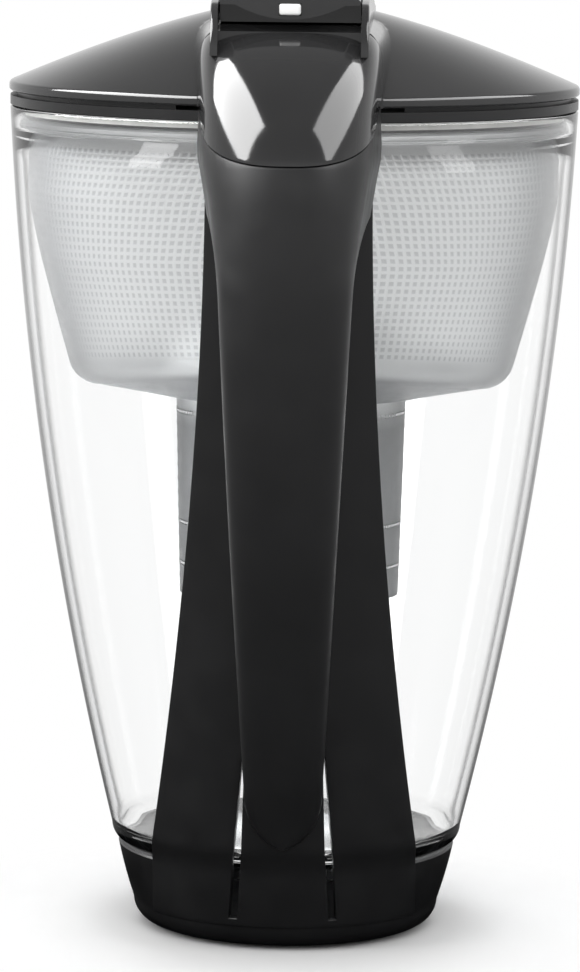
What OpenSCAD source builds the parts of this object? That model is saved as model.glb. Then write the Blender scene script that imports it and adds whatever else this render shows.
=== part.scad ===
// Water filter pitcher with a flip lid: a clear round jug on a dark foot, a frosted funnel with an
// oval filter cartridge, a rear handle on an A-shaped back panel, and a domed lid whose band carries
// the fill flap. Millimetres, +Z up, origin on the jug's axis at the table, handle toward -Y.

/* [Jug] */
// Height of the jug's rim above the table
rim_z = 237; // [232:0.5:242]
// Outer radius of the jug at the rim
rim_r = 81; // [79:0.5:84]
// Outer radius of the jug's wall where it meets the foot
foot_r = 49.4; // [47:0.2:52]
// How far the wall bulges past a straight taper at mid height
belly = 5.4; // [4:0.2:6.4]
// Thickness of the clear wall
jug_wall = 2.6; // [2.2:0.1:3]
// Thickness of the jug's floor
jug_floor = 3.2; // [2.6:0.1:4]
// Radius of the rounded edge between wall and floor
jug_corner = 5; // [4:0.5:7]
// Depth of the funnel's ledge below the rim
ledge_drop = 5.5; // [5:0.5:7]
// How far the ledge stands in from the wall
ledge_w = 2; // [1.4:0.1:2.2]
// How far the spout's lip reaches past the rim
spout_reach = 15; // [11:1:18]
// Half width of the spout at the rim
spout_half = 21; // [17:1:24]
// Height of the spout from its root to its lip
spout_h = 44; // [36:1:54]

/* [Foot] */
// Height of the dark foot skirt
skirt_h = 24.3; // [22:0.1:28]
// Outer radius of the skirt at the table
skirt_low_r = 41.5; // [40:0.1:43]
// How far the skirt bulges past a straight taper
skirt_bulge = 0.6; // [0.2:0.1:1.2]
// Step from the jug's wall in to the skirt
skirt_step = 0.6; // [0.3:0.1:1]
// Thickness of the skirt's wall
skirt_wall = 2.4; // [2:0.1:3]
// Outer radius of the collar under the jug's floor
collar_r = 38.6; // [36:0.2:40]
// Depth of that collar
collar_h = 5; // [4:0.5:7]
// Radius of the rounded edge round the foot's underside
skirt_edge = 6.5; // [4:0.5:7]
// How far the anti-slip pad stands below the foot
pad_proud = 0.8; // [0.5:0.1:1.2]

/* [Back panel] */
// Thickness of the back panel
panel_t = 2.4; // [2:0.1:3]
// Half width of the panel at the top
panel_top_half = 22.8; // [21:0.2:24]
// Half width of the panel where it reaches the foot
panel_low_half = 37.6; // [35:0.2:39]
// Width of the slit between centre leg and side leg
slit_w = 2.3; // [1.6:0.1:3]
// Height at which the slits begin
slit_top_z = 59; // [54:1:64]
// Distance of the slits from the middle at their upper end
slit_top_x = 11.3; // [10.8:0.1:12.4]
// Distance of the slits from the middle at the foot
slit_low_x = 14.2; // [13.4:0.1:16]

/* [Handle] */
// Farthest reach of the handle behind the axis
grip_reach = 131; // [127:1:137]
// Reach of the handle's lower end behind the axis
grip_low_reach = 56; // [55.5:0.2:57]
// Height of the handle's lower end
grip_low_z = 32; // [30:0.5:36]
// Height at which the handle reaches farthest back
grip_bulge_z = 209; // [204:1:212]
// Thickness of the handle at its lower end
grip_low_t = 12; // [11:0.5:14]
// Thickness of the handle at its upper end
grip_high_t = 18.3; // [16:0.5:21]
// Half width of the handle where the slits begin
grip_low_half = 10.9; // [10:0.1:11]
// Half width of the handle below the bend
grip_high_half = 17; // [15.5:0.1:18]
// Wall thickness of the two handle shells
grip_wall = 2.4; // [2:0.1:2.8]
// Depth of the finger-side shell
liner_depth = 6.5; // [5.5:0.5:8]
// Gap between the lid's tail and the handle's top
seam_gap = 0.4; // [0.3:0.05:0.8]
// Radius of the thread of the handle screws
screw_r = 1.5; // [1.2:0.1:1.8]

/* [Funnel and cartridge] */
// Gap between the funnel's sides and the jug's wall at the top
funnel_gap = 2.8; // [2.6:0.1:5]
// Half depth of the funnel at the top
funnel_half_y = 64; // [60:0.5:68]
// Height of the funnel's floor edge above the table
funnel_floor_z = 158; // [154:1:162]
// Half width of the funnel's floor before its edge is rounded
floor_half_x = 61.8; // [58:0.2:64]
// Half depth of the funnel's floor before its edge is rounded
floor_half_y = 42; // [39:0.5:46]
// Rise of the floor edge from the sides to the front and back
floor_arch = 4; // [2:0.5:5]
// Thickness of the funnel's wall
funnel_wall = 1.8; // [1.5:0.1:2.2]
// Half width of the cartridge sleeve at its top
sleeve_half_x = 33; // [31:0.2:34]
// Half depth of the cartridge sleeve at its top
sleeve_half_y = 25; // [23:0.2:26]
// Length of the sleeve below the floor
sleeve_len = 57; // [50:1:60]
// Gap between cartridge and sleeve
cartridge_gap = 0.5; // [0.4:0.1:0.8]
// Height of the cartridge's slotted cap
cap_h = 17; // [13:1:20]

/* [Lid] */
// Height of the lid's dome above its edge at the axis
dome_h = 24.5; // [22:0.5:26]
// Thickness of the lid's walls
lid_wall = 2.2; // [1.8:0.1:2.6]
// Half width of the raised band at the axis
band_half = 31; // [29.5:0.5:33]
// Height of the band's top above the table
band_top_z = 264; // [263:0.5:266]
// Reach of the lid's nose over the spout
nose_reach = 98; // [96:0.5:102]
// How far the flap's crown stands above its surround
crown_proud = 1.2; // [0.8:0.1:1.6]
// Thickness of the flap surround
rail_t = 2; // [1.6:0.1:2.4]
// Rear end of the flap surround behind the axis
rail_rear = 92; // [90:0.5:94]
// Length of the fill opening under the flap
fill_len = 58; // [50:1:60]
// Radius of the flap's hinge pin
pin_r = 1.5; // [1.2:0.1:1.8]
// Distance of the hinge pin in front of the axis
pin_y = 8; // [6:0.5:11]
// Radius of the hinge barrel
barrel_r = 4.2; // [3.8:0.1:4.6]
// Height of the flap's crown above the band
crown_h = 8; // [7.6:0.1:9]
// Width of the white button
button_w = 5.8; // [5:0.2:7]

/* [Hidden] */
$fn = 96;
ring_points = 32;
fit = 0.1;
body_gap = 0.35;
over = 1;
far = 150;
dark = "#333336";
clear = [0.85, 0.9, 0.92, 0.35];
frost = [0.8, 0.82, 0.84, 0.6];

// ---------- shared forms ----------

function barrel(low, high, bulge, t) = low + (high - low) * t + 4 * bulge * t * (1 - t);
function jug_r(z) = barrel(foot_r, rim_r, belly, (z - skirt_h) / (rim_z - skirt_h));
function skirt_r(z) = barrel(skirt_low_r, foot_r - skirt_step, skirt_bulge, z / skirt_h);
function steps(from, to, count) = [for (i = [0:count]) from + (to - from) * i / count];
function root(v, n) = sign(v) * pow(abs(v), 2 / n);
function fall(t, n) = pow(max(0, 1 - pow(max(0, t), n)), 1 / n);

// An oval ring of points at one height, squarer as n grows, lifted at front and back by arch.
function oval(half_x, half_y, z, n = 2, arch = 0) = [
    for (i = [0:ring_points * 1.5 - 1])
        let (a = 360 * i / (ring_points * 1.5))
            [half_x * root(cos(a), n), half_y * root(sin(a), n), z + arch * pow(sin(a), 2)]
];

// Closed skin through rings that run counterclockwise seen from the last ring's side.
module loft(rings) {
    n = len(rings[0]);
    last = len(rings) - 1;
    sides = [
        for (j = [0:last - 1])
            for (i = [0:n - 1])
                let (a = j * n + i, b = j * n + (i + 1) % n)
                    each [[a, a + n, b], [b, a + n, b + n]]
    ];
    low_cap = [[for (i = [0:n - 1]) i]];
    high_cap = [[for (i = [n - 1:-1:0]) last * n + i]];
    polyhedron([for (ring = rings) each ring], concat(sides, low_cap, high_cap));
}

// A side outline [y, z] drawn out to x on both sides.
module side_prism(outline, half_x) {
    translate([-half_x, 0, 0])
        rotate([90, 0, 90])
            linear_extrude(2 * half_x)
                polygon(outline);
}

// A rear-view outline [x, z] drawn from y = front to y = back, back being the smaller.
module rear_prism(outline, front, back) {
    translate([0, front, 0])
        rotate([90, 0, 0])
            linear_extrude(front - back)
                polygon(outline);
}

// A slab with straight sides that taper along y, from z = low to z = high.
module taper_block(rear, half_rear, front, half_front, low, high) {
    translate([0, 0, low])
        linear_extrude(high - low)
            polygon([[-half_rear, rear], [half_rear, rear], [half_front, front],
                [-half_front, front]]);
}

// ---------- jug ----------

wall_steps = 14;
rim_in_r = rim_r - jug_wall;
ledge_z = rim_z - ledge_drop;
rim_round = 0.8;
collar_t = 2.2;
floor_top_z = skirt_h + jug_floor;

module jug_form() {
    low = skirt_h + jug_corner;
    edge = [for (a = [-90:22.5:-1]) [jug_r(low) - jug_corner + jug_corner * cos(a),
        low + jug_corner * sin(a)]];
    wall = [for (z = steps(low, rim_z - rim_round, wall_steps)) [jug_r(z), z]];
    rotate_extrude()
        polygon(concat([[0, skirt_h]], edge, wall, [[rim_r - rim_round, rim_z], [0, rim_z]]));
}

module jug_cavity() {
    low = floor_top_z + jug_corner;
    r = jug_r(low) - jug_wall;
    edge = [for (a = [-90:22.5:-1]) [r - jug_corner + jug_corner * cos(a),
        low + jug_corner * sin(a)]];
    ledge_root = ledge_z - 2 * ledge_w;
    wall = [for (z = steps(low, ledge_root, wall_steps)) [jug_r(z) - jug_wall, z]];
    ledge = [[rim_in_r - ledge_w, ledge_z - 0.4 * ledge_w], [rim_in_r - ledge_w, ledge_z],
        [rim_in_r, ledge_z], [rim_in_r, rim_z + over], [0, rim_z + over]];
    rotate_extrude()
        polygon(concat([[0, floor_top_z]], edge, wall, ledge));
}

spout_root_half = 5;
spout_root_depth = 8;
spout_depth = 30;
spout_sink = 2;

// The spout swells out of the wall as an oval that grows and leans forward toward the lip.
module spout_form(inset, top) {
    rings = [
        for (u = steps(0, 1, 8))
            let (
                z = rim_z - spout_h * (1 - u) + (top - rim_z) * u,
                half = spout_root_half + (spout_half - spout_root_half) * pow(u, 0.8) - inset,
                depth = spout_root_depth + (spout_depth - spout_root_depth) * u - inset,
                lip = jug_r(min(z, rim_z)) - spout_sink + (spout_reach + spout_sink) * pow(u, 1.4)
                    - inset
            )
                [for (p = oval(half, depth, z)) [p.x, p.y + lip - depth, p.z]]
    ];
    loft(rings);
}

module jug() color(clear) {
    difference() {
        union() {
            jug_form();
            spout_form(0, rim_z);
        }
        jug_cavity();
        spout_form(jug_wall, rim_z + over);
    }
    difference() {
        translate([0, 0, skirt_h - collar_h]) cylinder(r = collar_r, h = collar_h);
        translate([0, 0, skirt_h - collar_h - over])
            cylinder(r = collar_r - collar_t, h = collar_h + over);
    }
}

// ---------- foot ----------

web_t = 2.2;
base_t = 2.6;
pad_r = skirt_low_r - skirt_edge;
pad_depth = 0.8;
panel_low_z = pad_proud + skirt_edge;
slit_low_z = panel_low_z + 2.2;
slit_mid_z = 30;
panel_lap = 1.2;

module skirt_ring() {
    low = pad_proud + skirt_edge;
    edge_r = skirt_r(low) - skirt_edge;
    edge = [for (a = [-90:15:-1]) [edge_r + skirt_edge * cos(a), low + skirt_edge * sin(a)]];
    outer = [for (z = steps(low, skirt_h, 6)) [skirt_r(z), z]];
    inner = [for (z = steps(skirt_h - web_t, low, 4)) [skirt_r(z) - skirt_wall, z]];
    rotate_extrude()
        polygon(concat([[0, pad_proud]], edge, outer,
            [[collar_r + fit, skirt_h], [collar_r + fit, skirt_h - web_t]], inner,
            [[edge_r, pad_proud + base_t], [0, pad_proud + base_t]]));
}

module slits() {
    for (side = [-1, 1])
        rear_prism([[side * (slit_top_x - 0.3), slit_top_z], [side * (slit_top_x + 0.3), slit_top_z],
            [side * (slit_top_x + slit_low_x + slit_w) / 2, slit_mid_z],
            [side * (slit_low_x + slit_w / 2), slit_low_z],
            [side * (slit_low_x - slit_w / 2), slit_low_z],
            [side * (slit_top_x + slit_low_x - slit_w) / 2, slit_mid_z]], -20, -far);
}

module base_skirt() color(dark) difference() {
    skirt_ring();
    panel_zone(fit);
    slits();
    cylinder(r = pad_r + fit, h = pad_proud + pad_depth);
}

module foot_pad() color("#26262a")
    cylinder(r = pad_r, h = pad_proud + pad_depth);

// ---------- back panel ----------

panel_top_z = rim_z - 0.8;
panel_join_z = skirt_h + jug_corner + 1;
panel_straight_h = 17.5;
panel_straight_z = rim_z - panel_straight_h;
panel_skirt_proud = 0.6;

function panel_half(z) = panel_top_half + (panel_low_half - panel_top_half)
    * pow(max(0, panel_straight_z - max(z, panel_join_z)) / (panel_straight_z - panel_join_z), 1.8);
function panel_r(z) = jug_r(z) + fit + panel_t;

// The outer face of the panel as a closed round body, used wherever something seats on the panel.
module panel_envelope(extra) {
    foot = [for (z = steps(panel_low_z, skirt_h - 1, 4)) [skirt_r(z) + panel_skirt_proud + extra, z]];
    wall = [for (z = steps(panel_join_z, panel_top_z, wall_steps)) [panel_r(z) + extra, z]];
    rotate_extrude()
        polygon(concat([[0, panel_low_z]], foot, wall,
            [[panel_r(rim_z) + extra, rim_z + 20], [0, rim_z + 20]]));
}

module panel_core(extra) {
    foot = [for (z = steps(0, skirt_h, 5)) [skirt_r(z) - panel_lap - extra, z]];
    low = skirt_h + jug_corner;
    round_r = jug_corner + fit - extra;
    edge = [for (a = [-67.5:22.5:-1]) [jug_r(low) - jug_corner + round_r * cos(a),
        low + round_r * sin(a)]];
    wall = [for (z = steps(low, rim_z + over, wall_steps)) [jug_r(z) + fit - extra, z]];
    rotate_extrude()
        polygon(concat([[0, -over]], foot, edge, wall, [[0, rim_z + over]]));
}

module panel_outline(extra) {
    levels = steps(panel_join_z, panel_top_z, 12);
    right = concat([[panel_low_half + extra, panel_low_z - extra]],
        [for (z = levels) [panel_half(z) + extra, z]]);
    left = [for (i = [len(right) - 1:-1:0]) [-right[i].x, right[i].y]];
    rear_prism(concat(right, left), 0, -far);
}

module panel_zone(extra) intersection() {
    difference() {
        panel_envelope(over);
        panel_core(extra);
    }
    panel_outline(extra);
}

module spine_panel() color(dark) difference() {
    intersection() {
        panel_envelope(0);
        panel_outline(0);
    }
    panel_core(0);
    slits();
}

// ---------- handle and tail form ----------

neck_front = 51;
turn_z = grip_bulge_z - 15;
turn_h = 18.5;
tongue_h = 15.2;
flare_z = turn_z - 3;
flare_w = 2.6;
tail_center_r = 70;
tail_power = 2.4;
tail_cap = 24;
end_power = 2.6;
side_slope = 0.075;
seam_rear_r = 128.5;
seam_rear_z = rim_z - 8.2;
seam_front_r = 84;
seam_front_z = rim_z + 7;

// Reach of the outer face at a height: a quarter wave up the grip, then a full curve to the top.
function outer_r(z) = z < grip_bulge_z
    ? grip_low_reach + (grip_reach - grip_low_reach)
        * sin(90 * (z - grip_low_z) / (grip_bulge_z - grip_low_z))
    : tail_center_r + (grip_reach - tail_center_r)
        * fall((z - grip_bulge_z) / (band_top_z - grip_bulge_z), tail_power);
function grip_t(z) = grip_low_t + (grip_high_t - grip_low_t) * (z - grip_low_z)
    / (turn_z - grip_low_z);
function inner_r(z, deeper = 0) = z < turn_z
    ? outer_r(z) - grip_t(z) + deeper
    : neck_front + (outer_r(turn_z) - grip_high_t + deeper - neck_front)
        * fall((z - turn_z) / (turn_h + deeper), 2);
function side_line(r) = band_half - side_slope * r;
function grip_half(z) = (grip_low_half + (grip_high_half - grip_low_half)
    * (min(z, seam_rear_z) - slit_top_z + 6) / (flare_z - slit_top_z + 6)
    + flare_w * pow(max(0, min(z, seam_rear_z) - flare_z) / (seam_rear_z - flare_z), 2))
    * fall((grip_low_z + tongue_h - z) / tongue_h, 2);

// Depth of the rounded rear end: half the grip's thickness, growing to a full round at the tail.
function cap_depth(z) = grip_high_t / 2 + (tail_cap - grip_high_t / 2)
    * min(1, max(0, z - turn_z) / (seam_rear_z - turn_z));

// One level of the handle or tail: straight sides that widen forward, and rounded ends.
function level(rear, front, half_rear, half_front, z) =
    let (half_len = (rear - front) / 2, cap = min(cap_depth(z), half_len))
        [
            for (i = [0:ring_points - 1])
                let (
                    a = 360 * i / ring_points,
                    turn = root(sin(a), end_power),
                    y = -(rear + front) / 2 + (half_len - cap) * sign(turn) + cap * turn,
                    part = (y + rear) / (rear - front)
                )
                    [(half_rear + (half_front - half_rear) * part) * root(cos(a), end_power), y, z]
        ];

grip_levels = concat([grip_low_z + 0.15, grip_low_z + 1, grip_low_z + 3, grip_low_z + 6,
    grip_low_z + 10, grip_low_z + tongue_h], steps(grip_low_z + 22, turn_z - 12, 8),
    [turn_z, turn_z + 6, turn_z + 11, turn_z + 15, turn_z + 17.5, turn_z + turn_h + 0.3],
    steps(turn_z + turn_h + 6, seam_front_z + 10, 4));

function handle_ring(z, inset) =
    let (
        rear = outer_r(z),
        front = inner_r(z),
        scale_w = grip_half(z) / side_line(rear)
    )
        level(rear - inset, front + inset, grip_half(z) - inset,
            scale_w * side_line(front) - inset, z);

module below_seam(drop) {
    side_prism([[-far, seam_rear_z - drop - (far - seam_rear_r) * seam_slope], [-far, 0], [-20, 0],
        [-20, seam_front_z - drop + (seam_front_r - 20) * seam_slope]], far);
}

seam_slope = (seam_front_z - seam_rear_z) / (seam_rear_r - seam_front_r);
hollow_low_z = grip_low_z + 37;

module handle_solid() intersection() {
    difference() {
        loft([for (z = grip_levels) handle_ring(z, 0)]);
        panel_envelope(fit);
    }
    below_seam(seam_gap);
}

module handle_hollow() intersection() {
    difference() {
        loft([for (z = grip_levels) if (z > hollow_low_z) handle_ring(z, grip_wall)]);
        panel_envelope(grip_wall);
    }
    below_seam(seam_gap + grip_wall);
}

// The finger-side shell takes everything within liner_depth of the inner face.
module liner_zone() {
    low = grip_low_z + 31;
    levels = concat(steps(low, turn_z, 8), steps(turn_z + 4, turn_z + turn_h + liner_depth, 8));
    curve = [for (z = levels) [-inner_r(z, liner_depth), z]];
    side_prism(concat(curve, [[-40, turn_z + turn_h + liner_depth], [-40, low]]), 60);
}

screw_levels = [grip_low_z + 72, turn_z - 14];
boss_r = 3.6;
boss_bore_r = screw_r + 0.04;
screw_head_r = 2.9;
screw_head_h = 1.8;
head_sink = 3.4;
socket_r = 1.3;
shank_h = 7.8;

module screw_axis(z) {
    translate([0, -inner_r(z), z])
        rotate([90, 0, 0])
            children();
}

module handle_grip() color(dark) {
    difference() {
        handle_solid();
        handle_hollow();
        liner_zone();
    }
    for (z = screw_levels)
        difference() {
            screw_axis(z) translate([0, 0, liner_depth + 1])
                cylinder(r = boss_r, h = grip_t(z) - liner_depth - 1 - grip_wall / 2);
            screw_axis(z) translate([0, 0, liner_depth])
                cylinder(r = boss_bore_r, h = grip_t(z) - liner_depth - grip_wall);
        }
}

module handle_liner() color(dark) difference() {
    union() {
        difference() {
            intersection() {
                handle_solid();
                liner_zone();
            }
            handle_hollow();
        }
        for (z = screw_levels)
            screw_axis(z) translate([0, 0, grip_wall / 2])
                cylinder(r = boss_r, h = liner_depth + 1 - grip_wall / 2 - 0.05);
    }
    for (z = screw_levels) {
        screw_axis(z) translate([0, 0, -over]) cylinder(r = boss_bore_r, h = 20);
        screw_axis(z) translate([0, 0, -3]) cylinder(r = screw_head_r + fit, h = head_sink + 3);
    }
}

module handle_screws() color("silver")
    for (z = screw_levels)
        screw_axis(z) {
            difference() {
                translate([0, 0, head_sink - screw_head_h]) cylinder(r = screw_head_r, h = screw_head_h);
                translate([0, 0, head_sink - screw_head_h - over])
                    cylinder(r = socket_r, h = over + 1, $fn = 6);
            }
            translate([0, 0, head_sink]) cylinder(r = screw_r, h = shank_h);
        }

// ---------- funnel ----------

flange_z = ledge_z + body_gap;
flange_h = 2;
flange_r = rim_in_r - 0.4;
funnel_half_x = rim_in_r - funnel_gap;
flange_cut_half = spout_half - 5;
flange_cut_w = 9.4;
funnel_bend_z = ledge_z - 18;
floor_round = 6;
floor_power = 2.8;
sleeve_top_z = funnel_floor_z - 4;
sleeve_low_z = sleeve_top_z - sleeve_len;
sleeve_taper = 1.5;
land_w = 3.2;
outlet_t = 2;
outlet_pitch = 7.4;
outlet_w = 2.8;
outlet_len = 28;

function funnel_ring(z, inset, lift) =
    let (
        t = max(0, funnel_bend_z - z) / (funnel_bend_z - funnel_floor_z),
        s = (flange_z - z) / (flange_z - funnel_floor_z),
        drop = max(0, floor_round - (z - funnel_floor_z)),
        cut = floor_round - sqrt(max(0, floor_round * floor_round - drop * drop))
    )
        oval(funnel_half_x - (funnel_half_x - floor_half_x) * pow(t, 1.12) - cut - inset,
            funnel_half_y - (funnel_half_y - floor_half_y) * s - cut - inset,
            z + lift, 2 + (floor_power - 2) * min(1, 2 * s), floor_arch * pow(s, 2));

function sleeve_ring(z, inset) =
    let (narrow = sleeve_taper * (sleeve_top_z - z) / sleeve_len)
        oval(sleeve_half_x - narrow - inset, sleeve_half_y - narrow - inset, z);

// Sleeve, a flat land round its mouth, then the bowl from the floor's rounded edge to the flange.
module funnel_form(inset, low, top) {
    edge = [0, 0.2, 0.5, 1];
    bowl = concat([for (k = edge) funnel_ring(funnel_floor_z + k * floor_round, inset, inset)],
        [for (z = steps(funnel_floor_z + floor_round + 8, flange_z + top, 7)) funnel_ring(z, inset, 0)]);
    loft(concat([sleeve_ring(sleeve_low_z + low, inset)],
        [[for (p = sleeve_ring(sleeve_top_z, inset)) [p.x, p.y, p.z + inset]]],
        [oval(sleeve_half_x + land_w - inset, sleeve_half_y + land_w - inset,
            sleeve_top_z + 0.4 + inset)], bowl));
}

module hopper() color(frost) {
    difference() {
        union() {
            funnel_form(0, 0, 0);
            difference() {
                translate([0, 0, flange_z]) cylinder(r = flange_r, h = flange_h);
                translate([-flange_cut_half, rim_in_r - flange_cut_w, flange_z - over])
                    cube([2 * flange_cut_half, 2 * flange_cut_w, flange_h + 2 * over]);
            }
        }
        funnel_form(funnel_wall, outlet_t, flange_h + over);
        for (i = [-3:3])
            translate([i * outlet_pitch - outlet_w / 2, -outlet_len / 2, sleeve_low_z - over])
                cube([outlet_w, outlet_len, outlet_t + 2 * over]);
    }
}

// ---------- cartridge ----------

shell_t = 1.4;
shell_low_z = sleeve_low_z + outlet_t + body_gap;
seal_z = sleeve_top_z + 2.6;
seal_h = 1.3;
brim_z = seal_z + seal_h;
brim_h = 1.5;
brim_out = 1.6;
cap_z = brim_z + brim_h;
mesh_t = 0.6;
shell_inset = funnel_wall + cartridge_gap;
core_inset = shell_inset + shell_t;

module sleeve_slug(low, high, inset) {
    loft([sleeve_ring(low, inset), sleeve_ring(high, inset)]);
}

module cartridge_shell() color("whitesmoke") difference() {
    union() {
        sleeve_slug(shell_low_z, brim_z + 0.2, shell_inset);
        loft([oval(sleeve_half_x + brim_out, sleeve_half_y + brim_out, brim_z),
            oval(sleeve_half_x + brim_out, sleeve_half_y + brim_out, cap_z)]);
    }
    sleeve_slug(shell_low_z + shell_t, cap_z + over, core_inset);
    for (i = [-2:2])
        translate([i * 8 - 1.6, -11, shell_low_z - over]) cube([3.2, 22, shell_t + 2 * over]);
}

module cartridge_cap() color("white") {
    low = [sleeve_half_x + brim_out, sleeve_half_y + brim_out];
    difference() {
        loft([oval(low.x, low.y, cap_z), oval(low.x - 1.5, low.y - 1.5, cap_z + cap_h * 0.5),
            oval(low.x - 5, low.y - 5, cap_z + cap_h * 0.85),
            oval(low.x - 9, low.y - 9, cap_z + cap_h)]);
        loft([oval(low.x - 1.8, low.y - 1.8, cap_z - over),
            oval(low.x - 3.2, low.y - 3.2, cap_z + cap_h * 0.5),
            oval(low.x - 9, low.y - 9, cap_z + cap_h - 2)]);
        for (side = [-1, 1])
            for (i = [-3:3])
                translate([i * 6.4 - 0.9, side * 20 - 12, cap_z + cap_h * 0.35])
                    cube([1.8, 24, 4.4]);
    }
    translate([0, 0, cap_z + cap_h - 1])
        intersection() {
            rotate([90, 0, 0])
                rotate_extrude()
                    translate([10, 0]) circle(r = 2, $fn = 24);
            translate([-20, -5, -0.5]) cube([40, 10, 20]);
        }
}

module cartridge_media() color("#3a3a3c")
    sleeve_slug(shell_low_z + shell_t + mesh_t, brim_z - mesh_t, core_inset + fit);

module cartridge_mesh_bottom() color("lightgray")
    sleeve_slug(shell_low_z + shell_t, shell_low_z + shell_t + mesh_t, core_inset + fit);

module cartridge_mesh_top() color("lightgray")
    sleeve_slug(brim_z - mesh_t, brim_z, core_inset + fit);

module cartridge_seal() color("#d8d8d2") difference() {
    loft([oval(sleeve_half_x - 0.6, sleeve_half_y - 0.6, seal_z),
        oval(sleeve_half_x + 1, sleeve_half_y + 1, seal_z + 0.5 * seal_h),
        oval(sleeve_half_x + 0.4, sleeve_half_y + 0.4, brim_z)]);
    sleeve_slug(seal_z - over, brim_z + over, shell_inset - fit);
}

// ---------- lid ----------

lid_r = rim_r + 0.3;
lid_edge_z = rim_z + 4.2;
lid_rim_h = 2.5;
dome_z = lid_edge_z + lid_rim_h;
dome_power = 1.45;
band_power = 5;
band_low_z = rim_z + 4.2;
band_rear = 79;
nose_half = 16;
nose_round = 16;
tail_low_z = seam_rear_z - 3;
pocket_floor_z = band_top_z - 0.4;
barrel_gap = 2;
surround_front = pin_y + barrel_r + barrel_gap;
ramp_len = 24;
rail_run = 9;
rail_low_z = band_top_z - 8;
surround_half_0 = 22.6;
surround_slope = 0.0155;
pin_z = band_top_z - 1;
fill_front = pin_y - barrel_r - 3;
fill_half = 17;
chute_wall = 1.6;

function dome_level(r) = dome_z + dome_h * (1 - pow(r / lid_r, dome_power));
function surround_half(y) = surround_half_0 + surround_slope * y;
function band_top(y) = band_top_z - (band_top_z - dome_z)
    * pow(max(0, y - 6) / (nose_reach - 6), 2);
function band_side(y, tip = nose_reach) = y < 0 ? side_line(-y)
    : (band_half - (band_half - nose_half) * pow(y / nose_reach, 1.7))
        * fall((y - tip + nose_round) / nose_round, 2.2);

module dome_form(inset) {
    radii = steps(lid_r - inset, 0, 12);
    rotate_extrude()
        polygon(concat([[0, lid_edge_z - (inset > 0 ? over : 0)],
            [lid_r - inset, lid_edge_z - (inset > 0 ? over : 0)]],
            [for (r = radii) [r, dome_level(r) - inset]]));
}

// A rear-view slice of the band: flat underneath, square-shouldered on top.
function band_slice(y, inset) =
    let (
        top = band_top(y) - inset,
        low = band_low_z - (inset > 0 ? over : 0),
        half = max(0.4, band_side(y, nose_reach - inset) - inset)
    )
        [for (i = [0:20])
            let (a = 180 * i / 20)
                [half * root(cos(a), band_power), y, low + (top - low) * root(sin(a), band_power)]];

module band_form(inset) {
    tip = nose_reach - inset;
    stations = concat([-band_rear + 2 * inset], [-60, -30, 0],
        steps(15, tip - nose_round, 6), [for (a = [30:20:70]) tip - nose_round * (1 - sin(a))],
        [tip - nose_round * 0.01]);
    loft([for (i = [len(stations) - 1:-1:0]) band_slice(stations[i], inset)]);
}

tail_levels = concat([tail_low_z], steps(tail_low_z + 5, band_top_z - 10, 4),
    [band_top_z - 7, band_top_z - 4.6, band_top_z - 2.8, band_top_z - 1.4, band_top_z - 0.5,
        band_top_z - 0.08]);

function tail_ring(z, inset) =
    let (
        top = band_top_z - inset,
        rear = outer_r(min(band_top_z, z + inset)) - inset * 0.8,
        slim = fall((z - lid_edge_z) / (top - lid_edge_z), band_power),
        front = neck_front
    )
        level(rear, front + inset, side_line(rear) * slim - inset, side_line(front) * slim - inset, z);

module tail_form(inset) {
    top = band_top_z - inset;
    loft([for (z = tail_levels) if (z < top - 0.3) tail_ring(z, inset)]);
}

module above_seam() {
    side_prism([[-far, seam_rear_z - (far - seam_rear_r) * seam_slope], [-far, 300], [-20, 300],
        [-20, seam_front_z + (seam_front_r - 20) * seam_slope]], far);
}

// The surround stands on the band round the flap, with the flap's pocket inside it. Behind the flap
// only its two rails run on, down into the tail on both sides of the finger scoop.
module surround_form() {
    front = surround_front + ramp_len;
    tip = -rail_rear - rail_run;
    rail_h = flap_top(-rail_rear) - crown_proud - rail_low_z;
    rear_edge = [for (a = [180:-15:90]) [tip + 1.3 * rail_run * (1 + cos(a)),
        rail_low_z + rail_h * sin(a)]];
    crown = [for (y = steps(-rail_rear + 6, pin_y, 9)) [y, flap_top(y) - crown_proud]];
    ramp = [[surround_front + 1, flap_top(pin_y) - crown_proud],
        [surround_front + ramp_len / 2, band_top(surround_front + ramp_len / 2) + 0.9],
        [front, band_top(front) - 0.6]];
    difference() {
        intersection() {
            taper_block(tip, surround_half(tip), front, surround_half(front),
                band_top_z - 10, flap_top_z);
            side_prism(concat(rear_edge, crown, ramp, [[front, rail_low_z], [tip, rail_low_z]]), 40);
        }
        taper_block(tip - over, surround_half(tip) - rail_t, -rail_rear,
            surround_half(-rail_rear) - rail_t, rail_low_z - over, flap_top_z);
    }
}

module flap_pocket() {
    taper_block(-rail_rear - 10, surround_half(-rail_rear - 10) - rail_t, surround_front,
        surround_half(surround_front) - rail_t, pocket_floor_z, flap_top_z + over);
    translate([0, -rail_rear + 1, pocket_floor_z + 8.4])
        rotate([0, 90, 0])
            cylinder(r = 10, h = 2 * (surround_half(-rail_rear) - rail_t), center = true);
}

module fill_hole(extra) {
    translate([-fill_half - extra, fill_front - fill_len - extra, rim_z - 20])
        cube([2 * (fill_half + extra), fill_len + 2 * extra, 60]);
}

module hinge_slot(extra) {
    translate([-fill_half - 3.9, pin_y - barrel_r - 1.6 - extra, pin_z - barrel_r - 1.2])
        cube([2 * fill_half + 7.8, 2 * barrel_r + 3.1 + extra, 30]);
}

module lid_shell() color(dark) difference() {
    union() {
        dome_form(0);
        band_form(0);
        intersection() {
            tail_form(0);
            above_seam();
        }
        surround_form();
    }
    dome_form(lid_wall);
    band_form(lid_wall);
    tail_form(lid_wall);
    flap_pocket();
    fill_hole(chute_wall + fit);
    hinge_slot(0);
}

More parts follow.
